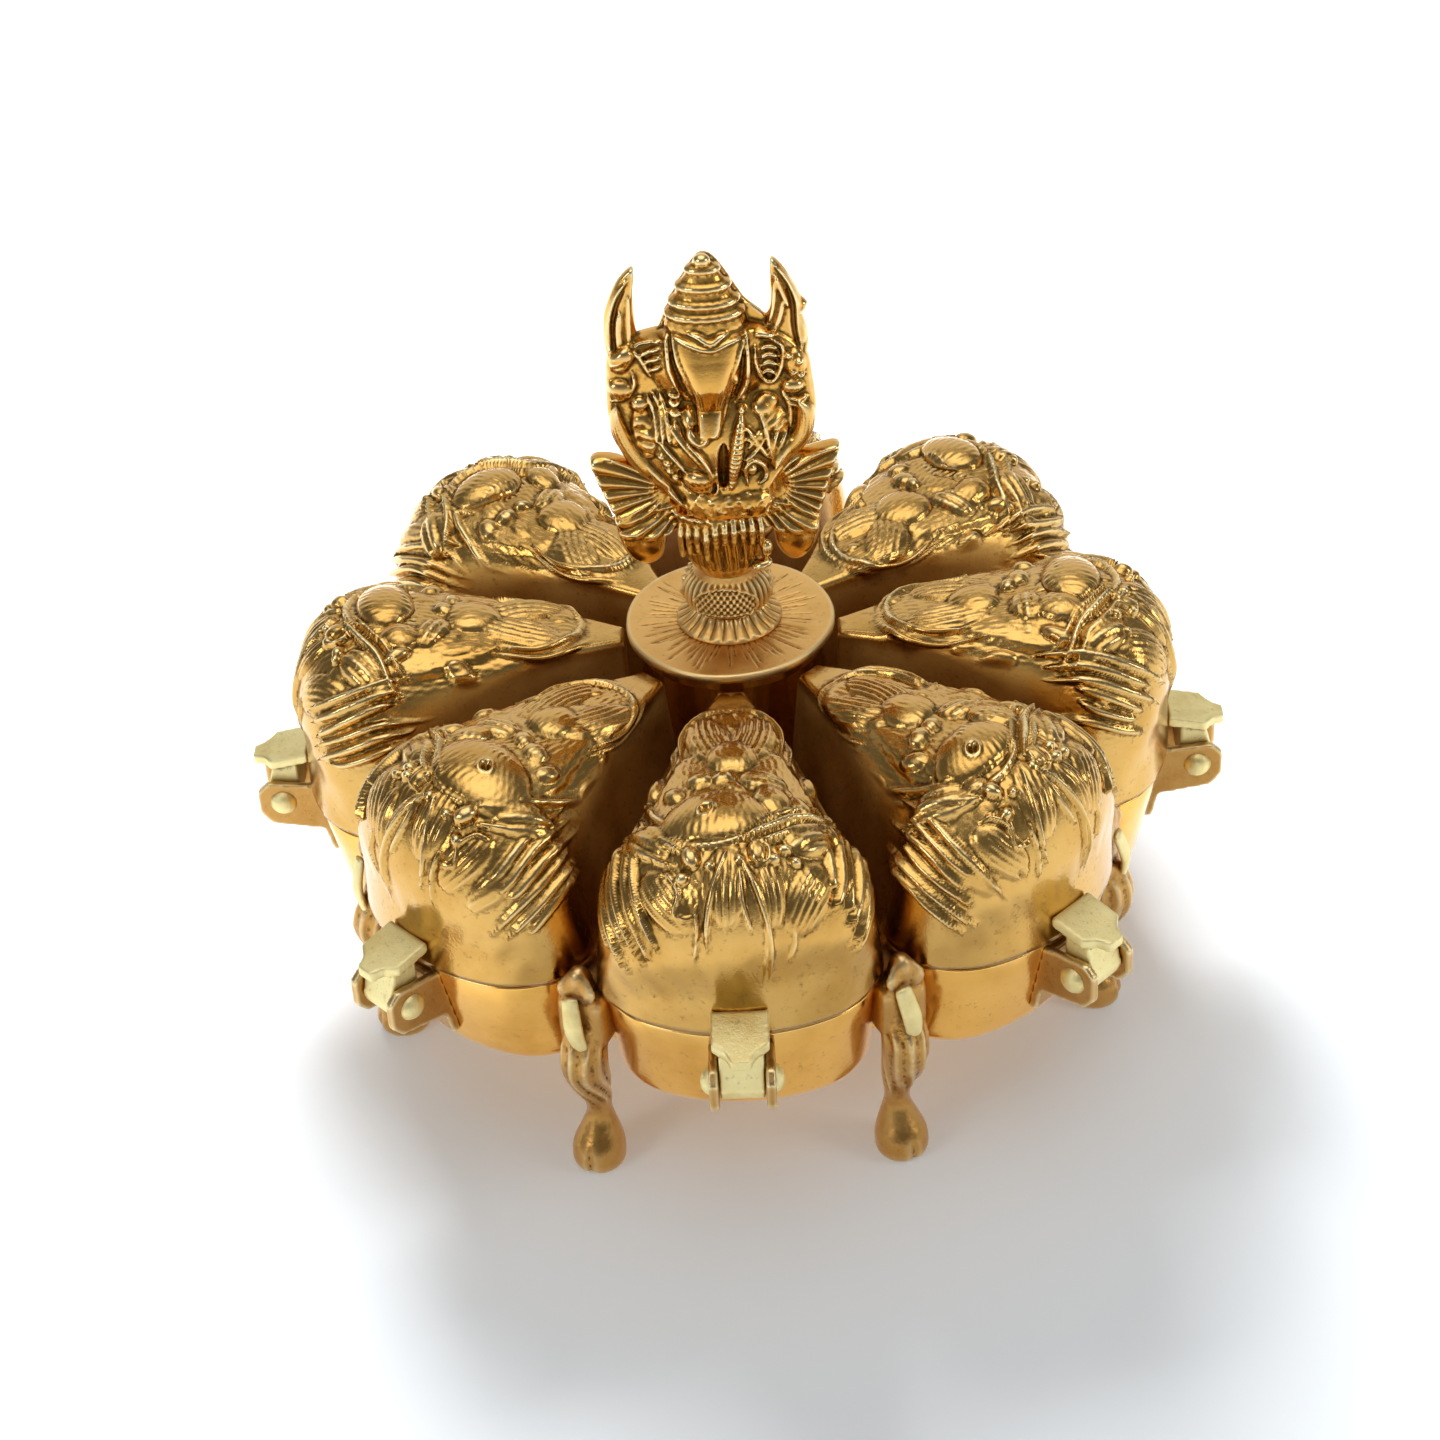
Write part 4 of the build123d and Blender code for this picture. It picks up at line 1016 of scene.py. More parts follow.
# Ridges and, with a depth below zero, grooves: half width, depth and stops
BODY_LINES = [
    # Double brow, edges of the face and cheeks
    (0.7, 1.9, [(-7.9, 37.7), (-5.9, 37.5), (-2.9, 36.6), (-0.4, 35.3), (1.5, 36.2), (3.3, 37.1),
                (5.3, 36.9)]),
    (0.7, 1.8, [(-7.0, 36.2), (-4.2, 35.1), (-0.4, 34.2), (2.6, 35.0), (5.1, 35.3)]),
    (0.6, 1.0, [(-6.9, 36.4), (-6.2, 32.1), (-4.9, 28.3), (-3.9, 24.8), (-3.4, 21.2)]),
    (0.6, 1.0, [(5.2, 34.6), (4.3, 31.9), (3.3, 29.2), (2.4, 25.8), (1.6, 22.4), (1.1, 19.6)]),
    (0.5, 1.0, [(5.7, 36.0), (5.8, 29.2), (5.2, 25.5), (3.3, 22.6)]),
    (0.5, 1.0, [(-7.9, 36.8), (-7.9, 33.4), (-7.6, 29.2), (-6.0, 24.6)]),
    (0.45, -0.9, [(-7.2, 35.2), (-6.9, 31.0), (-5.8, 27.0), (-4.6, 23.2)]),
    (0.45, -0.9, [(5.2, 33.0), (4.8, 30.0), (4.2, 26.4), (3.0, 23.0)]),
    # Ears with their ribs
    (0.6, 1.2, [(-13.4, 33.0), (-12.4, 34.0), (-8.8, 34.3)]),
    (0.5, 1.0, [(-13.4, 32.2), (-12.2, 30.1), (-10.8, 26.9)]),
    (0.5, 1.0, [(-12.8, 31.2), (-11.0, 32.1), (-9.0, 33.2)]),
    (0.5, 1.0, [(-12.3, 29.6), (-10.9, 30.4), (-9.1, 31.5)]),
    (0.5, 1.0, [(-11.5, 28.2), (-10.5, 28.8), (-9.2, 29.8)]),
    (0.5, 1.2, [(7.1, 32.9), (7.1, 29.8), (8.3, 25.9), (9.9, 25.5), (11.3, 28.2), (11.6, 32.0),
                (9.5, 33.6)]),
    (0.5, 1.1, [(7.9, 32.0), (9.4, 32.1), (10.9, 31.6)]),
    (0.5, 1.1, [(7.9, 30.4), (9.4, 30.6), (10.9, 30.0)]),
    (0.5, 1.1, [(8.0, 28.9), (9.3, 29.1), (10.7, 28.4)]),
    (0.5, 1.1, [(8.2, 27.3), (9.2, 27.5), (10.2, 26.8)]),
    # Rear hands and the outer arms that frame the figure
    (0.45, 1.0, [(-14.0, 28.3), (-13.9, 25.5), (-15.6, 23.3), (-18.1, 22.7)]),
    (0.5, 1.2, [(12.4, 22.0), (13.9, 21.6), (15.6, 22.0)]),
    (0.45, 1.1, [(12.6, 20.9), (14.0, 20.4), (15.8, 20.8)]),
    (1.75, 1.9, [(13.9, 21.9), (15.1, 19.4), (15.0, 16.2), (13.8, 13.8), (11.4, 11.4), (9.4, 8.6)]),
    (0.5, 0.9, [(11.1, 23.4), (12.4, 20.5), (12.5, 15.9)]),
    (1.5, 1.6, [(-17.2, 22.1), (-17.4, 19.0), (-16.8, 16.1), (-15.4, 12.8), (-13.2, 9.4),
                (-10.2, 6.2), (-6.6, 2.6)]),
    # Trunk tip, folds, bracelets and sashes
    (1.25, 2.6, [(-1.6, 18.4), (-2.9, 17.0), (-4.3, 17.8), (-4.8, 19.6)]),
    (0.5, 1.1, [(-11.8, 23.6), (-10.7, 19.6), (-10.6, 15.0)]),
    (0.5, 1.1, [(-10.9, 24.2), (-9.7, 21.0), (-9.5, 15.0)]),
    (0.5, 1.1, [(-9.7, 24.5), (-8.6, 19.5), (-8.4, 15.3)]),
    (0.6, 1.5, [(-8.3, 24.8), (-7.3, 24.1), (-6.1, 24.6)]),
    (0.6, 1.5, [(-8.3, 23.1), (-7.3, 22.4), (-6.1, 23.0)]),
    (0.6, 1.5, [(-8.3, 21.5), (-7.2, 20.9), (-6.1, 21.5)]),
    (0.55, 1.2, [(-8.7, 19.7), (-6.5, 16.4), (-3.9, 13.1), (-1.9, 10.5)]),
    (0.5, 1.0, [(-10.5, 15.9), (-7.9, 12.9), (-5.7, 9.9)]),
    (0.5, 0.9, [(-7.5, 19.7), (-6.2, 16.8), (-4.7, 15.3)]),
    (0.6, 1.4, [(-5.3, 16.3), (-2.7, 13.0), (-1.5, 9.3), (-2.0, 6.0)]),
    (0.9, -1.6, [(0.9, 16.0), (0.6, 11.4), (0.5, 6.4)]), (0.5, 1.0, [(-0.5, 10.7), (-0.8, 5.7)]),
    (0.5, -0.9, [(-6.8, 11.2), (-6.8, 8.0), (-4.6, 5.6), (-1.4, 6.0), (-0.9, 9.2)]),
    # Threads and coil on the right, bracelets, and lines that fan out to the arm
    (0.45, 0.9, [(4.9, 18.4), (6.6, 15.4), (8.5, 11.4)]),
    (0.45, 0.9, [(4.4, 12.2), (6.5, 13.7), (8.4, 16.4)]),
    (0.4, 0.8, [(4.8, 16.6), (7.1, 14.0)]), (0.4, 0.8, [(5.1, 14.3), (7.1, 17.0)]),
    (0.5, 1.1, [(4.7, 7.0), (4.4, 10.5), (5.9, 11.9), (7.6, 10.3), (7.9, 7.8), (6.4, 6.9)]),
    (0.5, 1.1, [(7.1, 21.1), (8.2, 17.5), (9.1, 10.6)]),
    (0.5, 0.9, [(9.3, 10.3), (10.5, 13.0), (12.0, 15.7)]),
    (0.5, 0.9, [(9.6, 9.4), (11.0, 11.3), (12.8, 12.8)]),
    (0.45, 0.8, [(9.0, 9.4), (9.6, 14.0), (10.6, 16.8)]),
]
BLADE_LINES = [
    (0.5, 0.7, [(-17.3, 30), (-17.7, 34), (-17.3, 38), (-16.0, 42), (-13.8, 45)]),
    (0.5, -0.6, [(-16.6, 31), (-16.8, 36), (-16.0, 40), (-14.0, 44)]),
    (0.8, 0.6, [(-15.9, 31.5), (-16.0, 35), (-15.4, 39)]),
    (0.5, 0.5, [(-14.2, 31), (-14.0, 37), (-13.8, 42)]),
    (0.6, 0.8, [(11.0, 46.6), (13.2, 43.6), (14.4, 40.0), (14.6, 35), (15.0, 30)]),
    (0.5, -0.6, [(12.6, 43.0), (13.6, 39.6), (13.7, 35), (14.2, 31)]),
    (0.5, 0.7, [(10.8, 45.0), (11.9, 41.6), (13.0, 38.6)]),
    (0.5, 0.6, [(10.4, 34.4), (11.4, 37.0), (12.2, 40.4)]),
    (0.45, 0.6, [(9.6, 36), (10.4, 40), (10.8, 44)]),
    (0.6, 0.8, [(15.0, 38.4), (15.4, 35.0), (15.2, 31.5)]),
]
# Crown: radius and height of the cone, heights of its raised bands and the plate behind it
CROWN_CONE = [(6.6, 35.8), (7.3, 36.6), (6.5, 38.9), (5.7, 41.0), (4.7, 43.2), (3.5, 45.4),
              (2.3, 47.2), (1.5, 48.3), (0.1, 48.9)]
CROWN_BANDS = (39.0, 41.1, 43.9, 46.8)
CROWN_PLATE = [(-9.4, 35), (-6.8, 41), (-3.4, 47), (-1.0, 49), (1.6, 47), (5.4, 40.4), (8.4, 35.4)]


def body_front(x, height):
    """Front of the figure: soft masses, the long face and trunk, then bosses, ribs and lines."""
    z = height - SEAT_TOP
    mass = np.maximum.reduce([swell(x, z, *values) for values in BODY_MASSES])
    middle = np.interp(z, [17.5, 19.3, 22, 26, 36], [-1.7, -1.3, -1.1, -0.85, -0.95])
    half = np.interp(z, [17.0, 19.3, 22, 25.6, 29, 32.6, 36], [1.9, 2.15, 2.4, 3.05, 3.9, 5.1, 6.0])
    depth = np.interp(z, [16.8, 18.2, 22, 27, 32, 35.4, 36.4], [0, 2.9, 3.5, 2.9, 1.6, 1.2, 0])
    across = (x - middle) / half
    hollow = 1 - 0.12 * np.exp(-(across / 0.5) ** 2)
    face = depth * np.sqrt(np.clip(1 - across ** 4, 0, None)) * hollow
    relief, cuts = face, np.zeros_like(x)
    for cx, cz, rx, rz, turn, high in BODY_BOSSES:
        relief = np.maximum(relief, dome(x, z, cx, cz, rx, rz, turn, high))
    for cx, cz, rx, rz, turn, spacing, bend, high in BODY_RIBS:
        relief = np.maximum(relief, ribbed(x, z, cx, cz, rx, rz, turn, spacing, bend, high))
    for width, high, stops in BODY_LINES:
        line = ridge(x, z, stops, width, high)
        relief, cuts = np.maximum(relief, line), np.minimum(cuts, line)
    return 2.0 + mass + relief + cuts


def blade_front(x, height):
    """Front of a raised blade with its ribs and grooves."""
    relief = [ridge(x, height - SEAT_TOP, stops, width, high) for width, high, stops in BLADE_LINES]
    return 1.2 + np.maximum.reduce(relief) + np.minimum.reduce(relief)


def body_back(x, z):
    """Back of the figure: a plain plate with one soft mass."""
    return 2.0 + swell(x, z, 0, SEAT_TOP + 14, 14, 17, 3.2)


def crown_patches():
    """Crown: a flattened bullet cone whose radius grows by a flat-topped bell curve at each
    band, a knob and a thin plate behind."""
    rows, columns = 170, 120
    stations = smooth_path(CROWN_CONE, rows)
    band = sum(np.exp(-((stations[:, 1] - middle) / 0.62) ** 4) for middle in CROWN_BANDS)
    profile = np.column_stack([np.maximum(stations[:, 0] - 0.35 + 0.8 * band, 0.1),
                               stations[:, 1] + SEAT_TOP])

    def tooling(angle, height, _):
        """Fine tool marks that wind upward."""
        return 0.05 * np.sin(23 * angle + height * 3.0)

    cone, quads = lathe(profile, tooling, columns)
    return [cap_ends(cone * (1, 0.66, 1) + (-1.2, -1.0, 0), quads, rows, columns),
            ball((-1.2, -1.4, SEAT_TOP + 48.2), (1.5, 1.4, 1.2)),
            slab(above_seat(CROWN_PLATE), -0.3, 1.1, 90, 0.4)]


def rough_base_patches():
    """Rough base below the legs: a blunt lump with small seeded grains over its front."""
    grains = 90
    patches = [ball((1.2, -1.2, SEAT_TOP + 2.8), (8.2, 6.2, 3.6), 0, 3, 30, 70)]
    random = np.random.default_rng(5)
    for across, up, size in zip(random.uniform(-1, 1, grains), random.uniform(-0.9, 0.95, grains),
                                random.uniform(0.6, 1, grains)):
        deep = (1 - abs(across) ** 3) ** (1 / 3) * (1 - abs(up) ** 3) ** (1 / 3)
        patches.append(ball((1.2 + 8 * across, -1.2 - 6.1 * deep, SEAT_TOP + 2.8 + 3.5 * up),
                            (0.6 * size, 0.34 * size, 0.5 * size), rows=8, columns=10))
    return patches


def figure_patches():
    """Seated elephant-headed figure with four arms, raised blades and a banded conical crown."""
    parts = [plaque(above_seat(BODY_OUTLINE), (-0.8, 17 + SEAT_TOP), body_front, body_back,
                    150, 560, 0.9)]
    for outline, (x, z) in BLADES:
        parts.append(plaque(above_seat(outline), (x, z + SEAT_TOP), blade_front,
                            lambda x, z: 1.2 + 0 * x, 50, 260, 0.7))
    return parts + crown_patches() + rough_base_patches()


# Stem above its foot: radius and height of the flare, the bead and the necks
STEM_STATIONS = [(9.4, 0.0), (9.5, 0.4), (8.9, 0.9), (7.6, 1.6), (6.5, 2.5), (6.1, 3.2), (6.6, 3.8),
                 (7.5, 4.8), (7.85, 6.0), (7.85, 7.4), (7.5, 8.7), (6.7, 9.9), (5.8, 10.8)]


def stem_relief(angle, height, radius):
    """What the cutter leaves on the stem: twelve flutes on the flare as the cosine of the
    angle, and on the bead three oval panels hatched by two crossed waves, a raised line round
    each and upright stripes between them."""
    up = height - STEM_FLOOR
    outside = smoothstep(radius, 4.4, 5.0)
    on_flare = smoothstep(up, 0.35, 1.0) * (1 - smoothstep(up, 2.8, 3.3))
    flute = 0.7 * (np.abs(np.cos(12 * angle)) ** 0.8 - 0.5) * on_flare
    on_bead = smoothstep(up, 3.6, 4.4) * (1 - smoothstep(up, 9.8, 10.8))
    turn = (angle * 3 / (2 * pi) + 0.28) % 1 - 0.5
    oval = (turn / 0.36) ** 2 + ((up - 6.9) / 3.2) ** 2
    panel = 1 - smoothstep(oval, 0.86, 1.0)
    crossed = np.cos(42 * angle + up * 4.4) + np.cos(42 * angle - up * 4.4)
    hatch = 0.2 * crossed * smoothstep(up, 4.9, 5.1)
    stripe = 0.3 * np.cos(36 * angle)
    border = (np.exp(-((oval - 1) / 0.10) ** 2) * 0.55
              + np.exp(-((up - 5.0) / 0.22) ** 2) * 0.25 * panel)
    return outside * (flute + on_bead * (panel * hatch + (1 - panel) * stripe + border))


def stem_patch():
    """Turned stem: the outline of its stations with a straight bore for the rod."""
    top = SEAT_FLOOR - STEM_FLOOR
    profile = smooth_path(STEM_STATIONS + [(5.2, top)], 150)
    bore = np.array([(ROD_HOLE, top), (ROD_HOLE, 0.0)])
    outline = np.vstack([profile, bore, profile[:1]]) + (0, STEM_FLOOR)
    return lathe(outline, stem_relief, 420)


def disc_patch(ray_depth):
    """Locking disc: a turned plate with rays cut into its top. Each ray is a bell curve across
    a line that bends a little as it goes out, and starts and ends softly."""
    rings, rays, columns = 46, 84, 540
    random = np.random.default_rng(11)
    radii = np.append(np.linspace(ROD_HOLE, DISC_RADIUS - 0.6, rings), [
        DISC_RADIUS - 0.2, DISC_RADIUS, DISC_RADIUS - 0.1, DISC_RADIUS - 0.5, ROD_HOLE])
    heights = np.append(np.full(rings, DISC_TOP), [
        DISC_TOP - 0.1, DISC_TOP - 0.45, DISC_FLOOR + 0.25, DISC_FLOOR, DISC_FLOOR])
    angle = np.linspace(0, 2 * pi, columns, endpoint=False)[None, :]
    radius = radii[:, None] + 0 * angle
    height = heights[:, None] + 0 * angle
    cut = np.zeros_like(height)
    for ray in range(rays):
        middle = 2 * pi * ray / rays + random.uniform(-0.02, 0.02)
        bend = random.uniform(-0.10, 0.10)
        far = random.uniform(0.72, 0.97) * DISC_RADIUS
        away = np.abs((angle - middle - bend * radius / DISC_RADIUS + pi) % (2 * pi) - pi) * radius
        ends = smoothstep(radius, 8.6, 9.6) * (1 - smoothstep(radius, far - 2, far))
        cut = np.maximum(cut, np.exp(-(away / 0.28) ** 2) * ends * random.uniform(0.5, 1))
    height = height - ray_depth * cut * (heights == DISC_TOP)[:, None]
    dents = 0.10 * np.sin(3 * angle + 0.8) + 0.07 * np.sin(7 * angle + 2)
    radius = radius + dents * smoothstep(radius, DISC_RADIUS - 2, DISC_RADIUS)
    grid = np.stack([radius * np.cos(angle), radius * np.sin(angle), height], -1)
    return surface(grid, wrap_rows=True)


def add_node(tree, kind, inputs=None, stops=(), **settings):
    """Adds a shader node, sets its properties, fills its inputs by value or link and, on a
    colour ramp, sets the stops: each a position with a linear colour or a grey."""
    node = tree.nodes.new(kind)
    for key, value in settings.items():
        setattr(node, key, value)
    for key, value in (inputs or {}).items():
        if isinstance(value, bpy.types.NodeSocket):
            tree.links.new(value, node.inputs[key])
        else:
            node.inputs[key].default_value = value
    if stops:
        elements = node.color_ramp.elements
        while len(elements) < len(stops):
            elements.new(0.5)
        for element, (position, value) in zip(elements, stops):
            element.position = position
            element.color = (*(value if isinstance(value, tuple) else (value,) * 3), 1)
    return node


def per_mm(millimetres):
    """Texture scale in Object coordinates for a feature of that size."""
    return 1 / (millimetres * MM)


# Finishes of the brass: colour setting; shares of dark patina in the hollows, deepened as painted
# shade, and of bright metal on the edges, lifted as a painted highlight; least and greatest
# roughness; size and depth of the grain, width of the colour drift and, on brushed metal, width of
# the scratches, in mm
FINISHES = {
    # Sand-cast yellow brass, ground and buffed outside: warm and smooth, with slow waves
    "buffed_cast_brass": ("cast", 0.75, 0.35, 0.15, 0.27, 0.9, 0.03, 14.0, None),
    # Cast brass chased by hand with punches: bright tops, partly polished by handling and partly a
    # painted highlight, and dark lacquer deepened by painted shade in the cuts
    "hand_chased_brass": ("chased", 0.9, 0.85, 0.13, 0.26, 0.5, 0.035, 14.0, None),
    # Lost-wax brass under thin amber lacquer: deeper orange, glossy, dark in its creases from
    # patina and painted shade
    "lacquered_cast_brass": ("figure", 0.85, 0.85, 0.13, 0.26, 0.6, 0.03, 9.0, None),
    # Sheet brass filed and scraped, without lacquer: pale, with close straight scratches
    "filed_sheet_brass": ("filed", 0.7, 0.3, 0.48, 0.6, 0.6, 0.05, 6.0, 0.35),
    # Rough sand-cast brass left dark by handling, with patina and painted shade in its hollows,
    # bright only on its edges, where handling polished it and a highlight is painted
    "aged_cast_brass": ("aged", 0.95, 0.85, 0.26, 0.46, 0.7, 0.09, 7.0, None),
    # Lathe-turned brass with fine tool lines
    "lathe_turned_brass": ("turned", 0.65, 0.6, 0.36, 0.5, 0.6, 0.04, 10.0, 0.5),
}
# Tone of the alloy where it drifts deeper and paler, as shares of red, green and blue
DEEP_TONE = (0.88, 0.82, 0.70)
PALE_TONE = (1.06, 1.09, 1.16)
SPECK_MM = 1.1


def brass(finish, colours):
    """Brass of a finish, made once: an alloy tone with slow colour drift, dark patina in the
    hollows that doubles as painted shade, bright edges that are partly polished metal and partly a
    painted highlight, a fine grain in the bump and, where it is brushed or filed, long scratches.
    Walls left as cast are matt."""
    if finish in bpy.data.materials:
        return bpy.data.materials[finish]
    (colour_name, patina_and_shade_share, polish_and_highlight_share, rough_low, rough_high, grain_mm, grain_depth, drift_mm,
     scratch_mm) = FINISHES[finish]
    tone = tuple(getattr(colours, colour_name))
    material = bpy.data.materials.new(finish)
    material.use_nodes = True
    tree = material.node_tree
    tree.nodes.clear()
    coordinates = add_node(tree, "ShaderNodeTexCoord").outputs["Object"]
    hollow = add_node(tree, "ShaderNodeAttribute", attribute_name="hollow").outputs["Fac"]
    drift, speck, height = (
        add_node(tree, "ShaderNodeTexNoise", {
            "Vector": coordinates, "Scale": per_mm(size), "Detail": detail,
            "Roughness": crispness}).outputs["Fac"]
        for size, detail, crispness in (
            (drift_mm, 4.0, 0.6), (SPECK_MM, 5.0, 0.65), (grain_mm, 3.0, 0.5)))
    deep = tuple(c * share for c, share in zip(tone, DEEP_TONE))
    pale = tuple(min(c * share, 1.0) for c, share in zip(tone, PALE_TONE))
    base = add_node(tree, "ShaderNodeValToRGB", {"Fac": drift},
                    [(0.32, deep), (0.5, tone), (0.68, pale)]).outputs["Color"]
    # Dark patina and painted shade where the surface is hollow, broken up by specks
    spread = add_node(tree, "ShaderNodeMath", {0: speck, 1: 0.7, 2: -0.35},
                      operation="MULTIPLY_ADD").outputs[0]
    dirt_and_shade = add_node(tree, "ShaderNodeMath", {0: hollow, 1: spread}, operation="ADD").outputs[0]
    film_and_shade = add_node(tree, "ShaderNodeValToRGB", {"Fac": dirt_and_shade},
                    [(0.05, 0.0), (0.27, patina_and_shade_share)]).outputs["Color"]
    stained_and_shaded = add_node(tree, "ShaderNodeMix", {0: film_and_shade, 6: base, 7: (*colours.tarnish_and_shade, 1)},
                       data_type="RGBA").outputs[2]
    # Bright metal on the edges, where the hollow measure is below zero: partly polished by handling
    # and partly a painted highlight
    rubbed_and_glinting = add_node(tree, "ShaderNodeMath", {0: hollow, 1: -1.0}, operation="MULTIPLY").outputs[0]
    wear_and_highlight = add_node(tree, "ShaderNodeValToRGB", {"Fac": rubbed_and_glinting},
                    [(0.10, 0.0), (0.55, polish_and_highlight_share)]).outputs["Color"]
    colour = add_node(tree, "ShaderNodeMix", {0: wear_and_highlight, 6: stained_and_shaded, 7: (*colours.worn_and_highlight, 1)},
                      data_type="RGBA").outputs[2]
    rough = add_node(tree, "ShaderNodeValToRGB", {"Fac": drift},
                     [(0.3, rough_low), (0.7, rough_high)]).outputs["Color"]
    rough = add_node(tree, "ShaderNodeMath", {0: film_and_shade, 1: 0.22, 2: rough},
                     operation="MULTIPLY_ADD").outputs[0]
    # Walls that no wheel reached are matt from the sand of the mould
    as_cast = add_node(tree, "ShaderNodeAttribute", attribute_name="as_cast").outputs["Fac"]
    rough = add_node(tree, "ShaderNodeMath", {0: as_cast, 1: 0.38, 2: rough},
                     operation="MULTIPLY_ADD", use_clamp=True).outputs[0]
    if scratch_mm:
        stretched = add_node(tree, "ShaderNodeMapping", {
            "Vector": coordinates, "Scale": (1.0, 1.0, 0.06)}).outputs[0]
        scratch = add_node(tree, "ShaderNodeTexNoise", {
            "Vector": stretched, "Scale": per_mm(scratch_mm), "Detail": 2.0}).outputs["Fac"]
        height = add_node(tree, "ShaderNodeMath", {0: height, 1: scratch},
                          operation="ADD").outputs[0]
    bump = add_node(tree, "ShaderNodeBump", {
        "Height": height, "Distance": grain_depth * MM, "Strength": 1.0}).outputs["Normal"]
    shader = add_node(tree, "ShaderNodeBsdfPrincipled", {
        "Base Color": colour, "Metallic": 1.0, "Roughness": rough, "Normal": bump})
    add_node(tree, "ShaderNodeOutputMaterial", {"Surface": shader.outputs[0]})
    return material


def settings(context):
    """Sizes and colours of the scene."""
    return context.scene.kumkum_sizes, context.scene.kumkum_colours


class KUMKUM_OT_cups(bpy.types.Operator):
    """Replaces the eight cups with cast petal cups"""
    bl_idname = "kumkum.cups"
    bl_label = "Petal cups"

    def execute(self, context):
        _, colours = settings(context)
        for number in range(1, PETALS + 1):
            build_cup(number, brass("buffed_cast_brass", colours))
        return {"FINISHED"}


class KUMKUM_OT_lids(bpy.types.Operator):
    """Replaces the eight lids with chased domed lids"""
    bl_idname = "kumkum.lids"
    bl_label = "Chased lids"

    def execute(self, context):
        sizes, colours = settings(context)
        for number in range(1, PETALS + 1):
            build_lid(number, sizes, brass("hand_chased_brass", colours))
        return {"FINISHED"}


class KUMKUM_OT_hinges(bpy.types.Operator):
    """Replaces the brackets, pins and leaves of the eight hinges"""
    bl_idname = "kumkum.hinges"
    bl_label = "Hinges"

    def execute(self, context):
        _, colours = settings(context)
        filed, aged = brass("filed_sheet_brass", colours), brass("aged_cast_brass", colours)
        for number in range(1, PETALS + 1):
            build_pin(number, filed)
            bracket = softened(f"hinge_bracket_{number}", f"cast_bracket_{number}", BRACKET_VOXEL)
            mount(bracket, "root", f"hinge_bracket_{number}", aged)
            leaf = softened(f"hinge_leaf_{number}", f"filed_leaf_{number}", LEAF_VOXEL)
            mount(leaf, f"lid_{number}_body", f"hinge_leaf_{number}", filed)
        return {"FINISHED"}


class KUMKUM_OT_legs(bpy.types.Operator):
    """Replaces the eight legs with hoofed castings"""
    bl_idname = "kumkum.legs"
    bl_label = "Legs"

    def execute(self, context):
        sizes, colours = settings(context)
        leg_voxel = sizes.casting_grain / MM * LEG_VOXEL_SHARE
        castings = (("hoofed_leg", leg_patches(), leg_voxel, "aged_brass", "aged_cast_brass"),
                    ("leg_plate", [plate_patch()], PLATE_VOXEL, "filed_brass", "filed_sheet_brass"))
        for number in range(1, PETALS + 1):
            angle = petal_angle(number) + HALF_SECTOR
            for name, patches, voxel, slot, finish in castings:
                placed = [(turned(points, angle), quads) for points, quads in patches]
                piece = cast_patches(f"{name}_{number}", placed, voxel)
                mount(piece, "root", f"leg_{number}", brass(finish, colours))
        return {"FINISHED"}


class KUMKUM_OT_middle(bpy.types.Operator):
    """Finishes the base plate, column, rod and nut, and the engraved locking disc"""
    bl_idname = "kumkum.middle"
    bl_label = "Middle and disc"

    def execute(self, context):
        sizes, colours = settings(context)
        for nodes, finish in ((("base_plate", "column"), "buffed_cast_brass"),
                              (("clamping_rod", "rod_nut"), "lathe_turned_brass")):
            for node in nodes:
                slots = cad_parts[node].data.materials
                slots.clear()
                slots.append(brass(finish, colours))
        disc = solid("engraved_disc", disc_patch(sizes.ray_depth / MM))
        mount(disc, "disc", "locking_disc", brass("lathe_turned_brass", colours))
        return {"FINISHED"}


class KUMKUM_OT_finial(bpy.types.Operator):
    """Replaces the stem, lotus seat and seated figure with detailed castings"""
    bl_idname = "kumkum.finial"
    bl_label = "Finial"

    def execute(self, context):
        sizes, colours = settings(context)
        voxel = sizes.casting_grain / MM
        stem = solid("turned_stem", stem_patch())
        mount(stem, "finial", "finial_stem", brass("lathe_turned_brass", colours))
        lacquered = brass("lacquered_cast_brass", colours)
        seat = cast_patches("lotus_petals", seat_patches(), voxel)
        mount(seat, "finial", "lotus_seat", lacquered)
        figure = cast_patches("seated_figure", figure_patches(), voxel)
        mount(figure, "finial", "finial_figure", lacquered)
        return {"FINISHED"}


# Soft boxes in metres: name, place, size, watts and whether metal mirrors them. The key lights
# the table and the walls; its own mirror image would burn out the disc.
LAMPS = [
    ("key", (-0.17, 0.68, 0.66), 0.40, 14.0, False),
    ("front_left", (-0.7, -0.6, 0.55), 0.35, 1.4, True),
    ("right_strip", (0.75, -0.25, 0.45), 0.30, 1.0, True),
]
LAMP_AIM = Vector((0, 0, 0.06))
# Light that the floor gives off for the camera and in reflections
FLOOR_HALF = 3.0
SEEN_LIFT = 0.16
MIRRORED_LIFT = 0.34
# Brightness of the studio's walls by height, and of the curtain behind the object
WALL_STOPS = [(0.0, 0.75), (0.15, 0.36), (0.4, 0.17), (0.72, 0.16), (0.86, 0.8), (0.96, 2.0)]
CURTAIN_STOPS = [(0.45, 0.0), (0.8, 0.95)]
# Camera of the photograph, fitted to the repeats of the box
CAMERA_TARGET = Vector((-0.0029, 0.0, 0.0475))
CAMERA_DISTANCE = 0.5518
CAMERA_PITCH, CAMERA_YAW, CAMERA_ROLL = radians(36.36), radians(1.945), radians(-3.586)
CAMERA_LENS = 74.46
CAMERA_SENSOR = 36


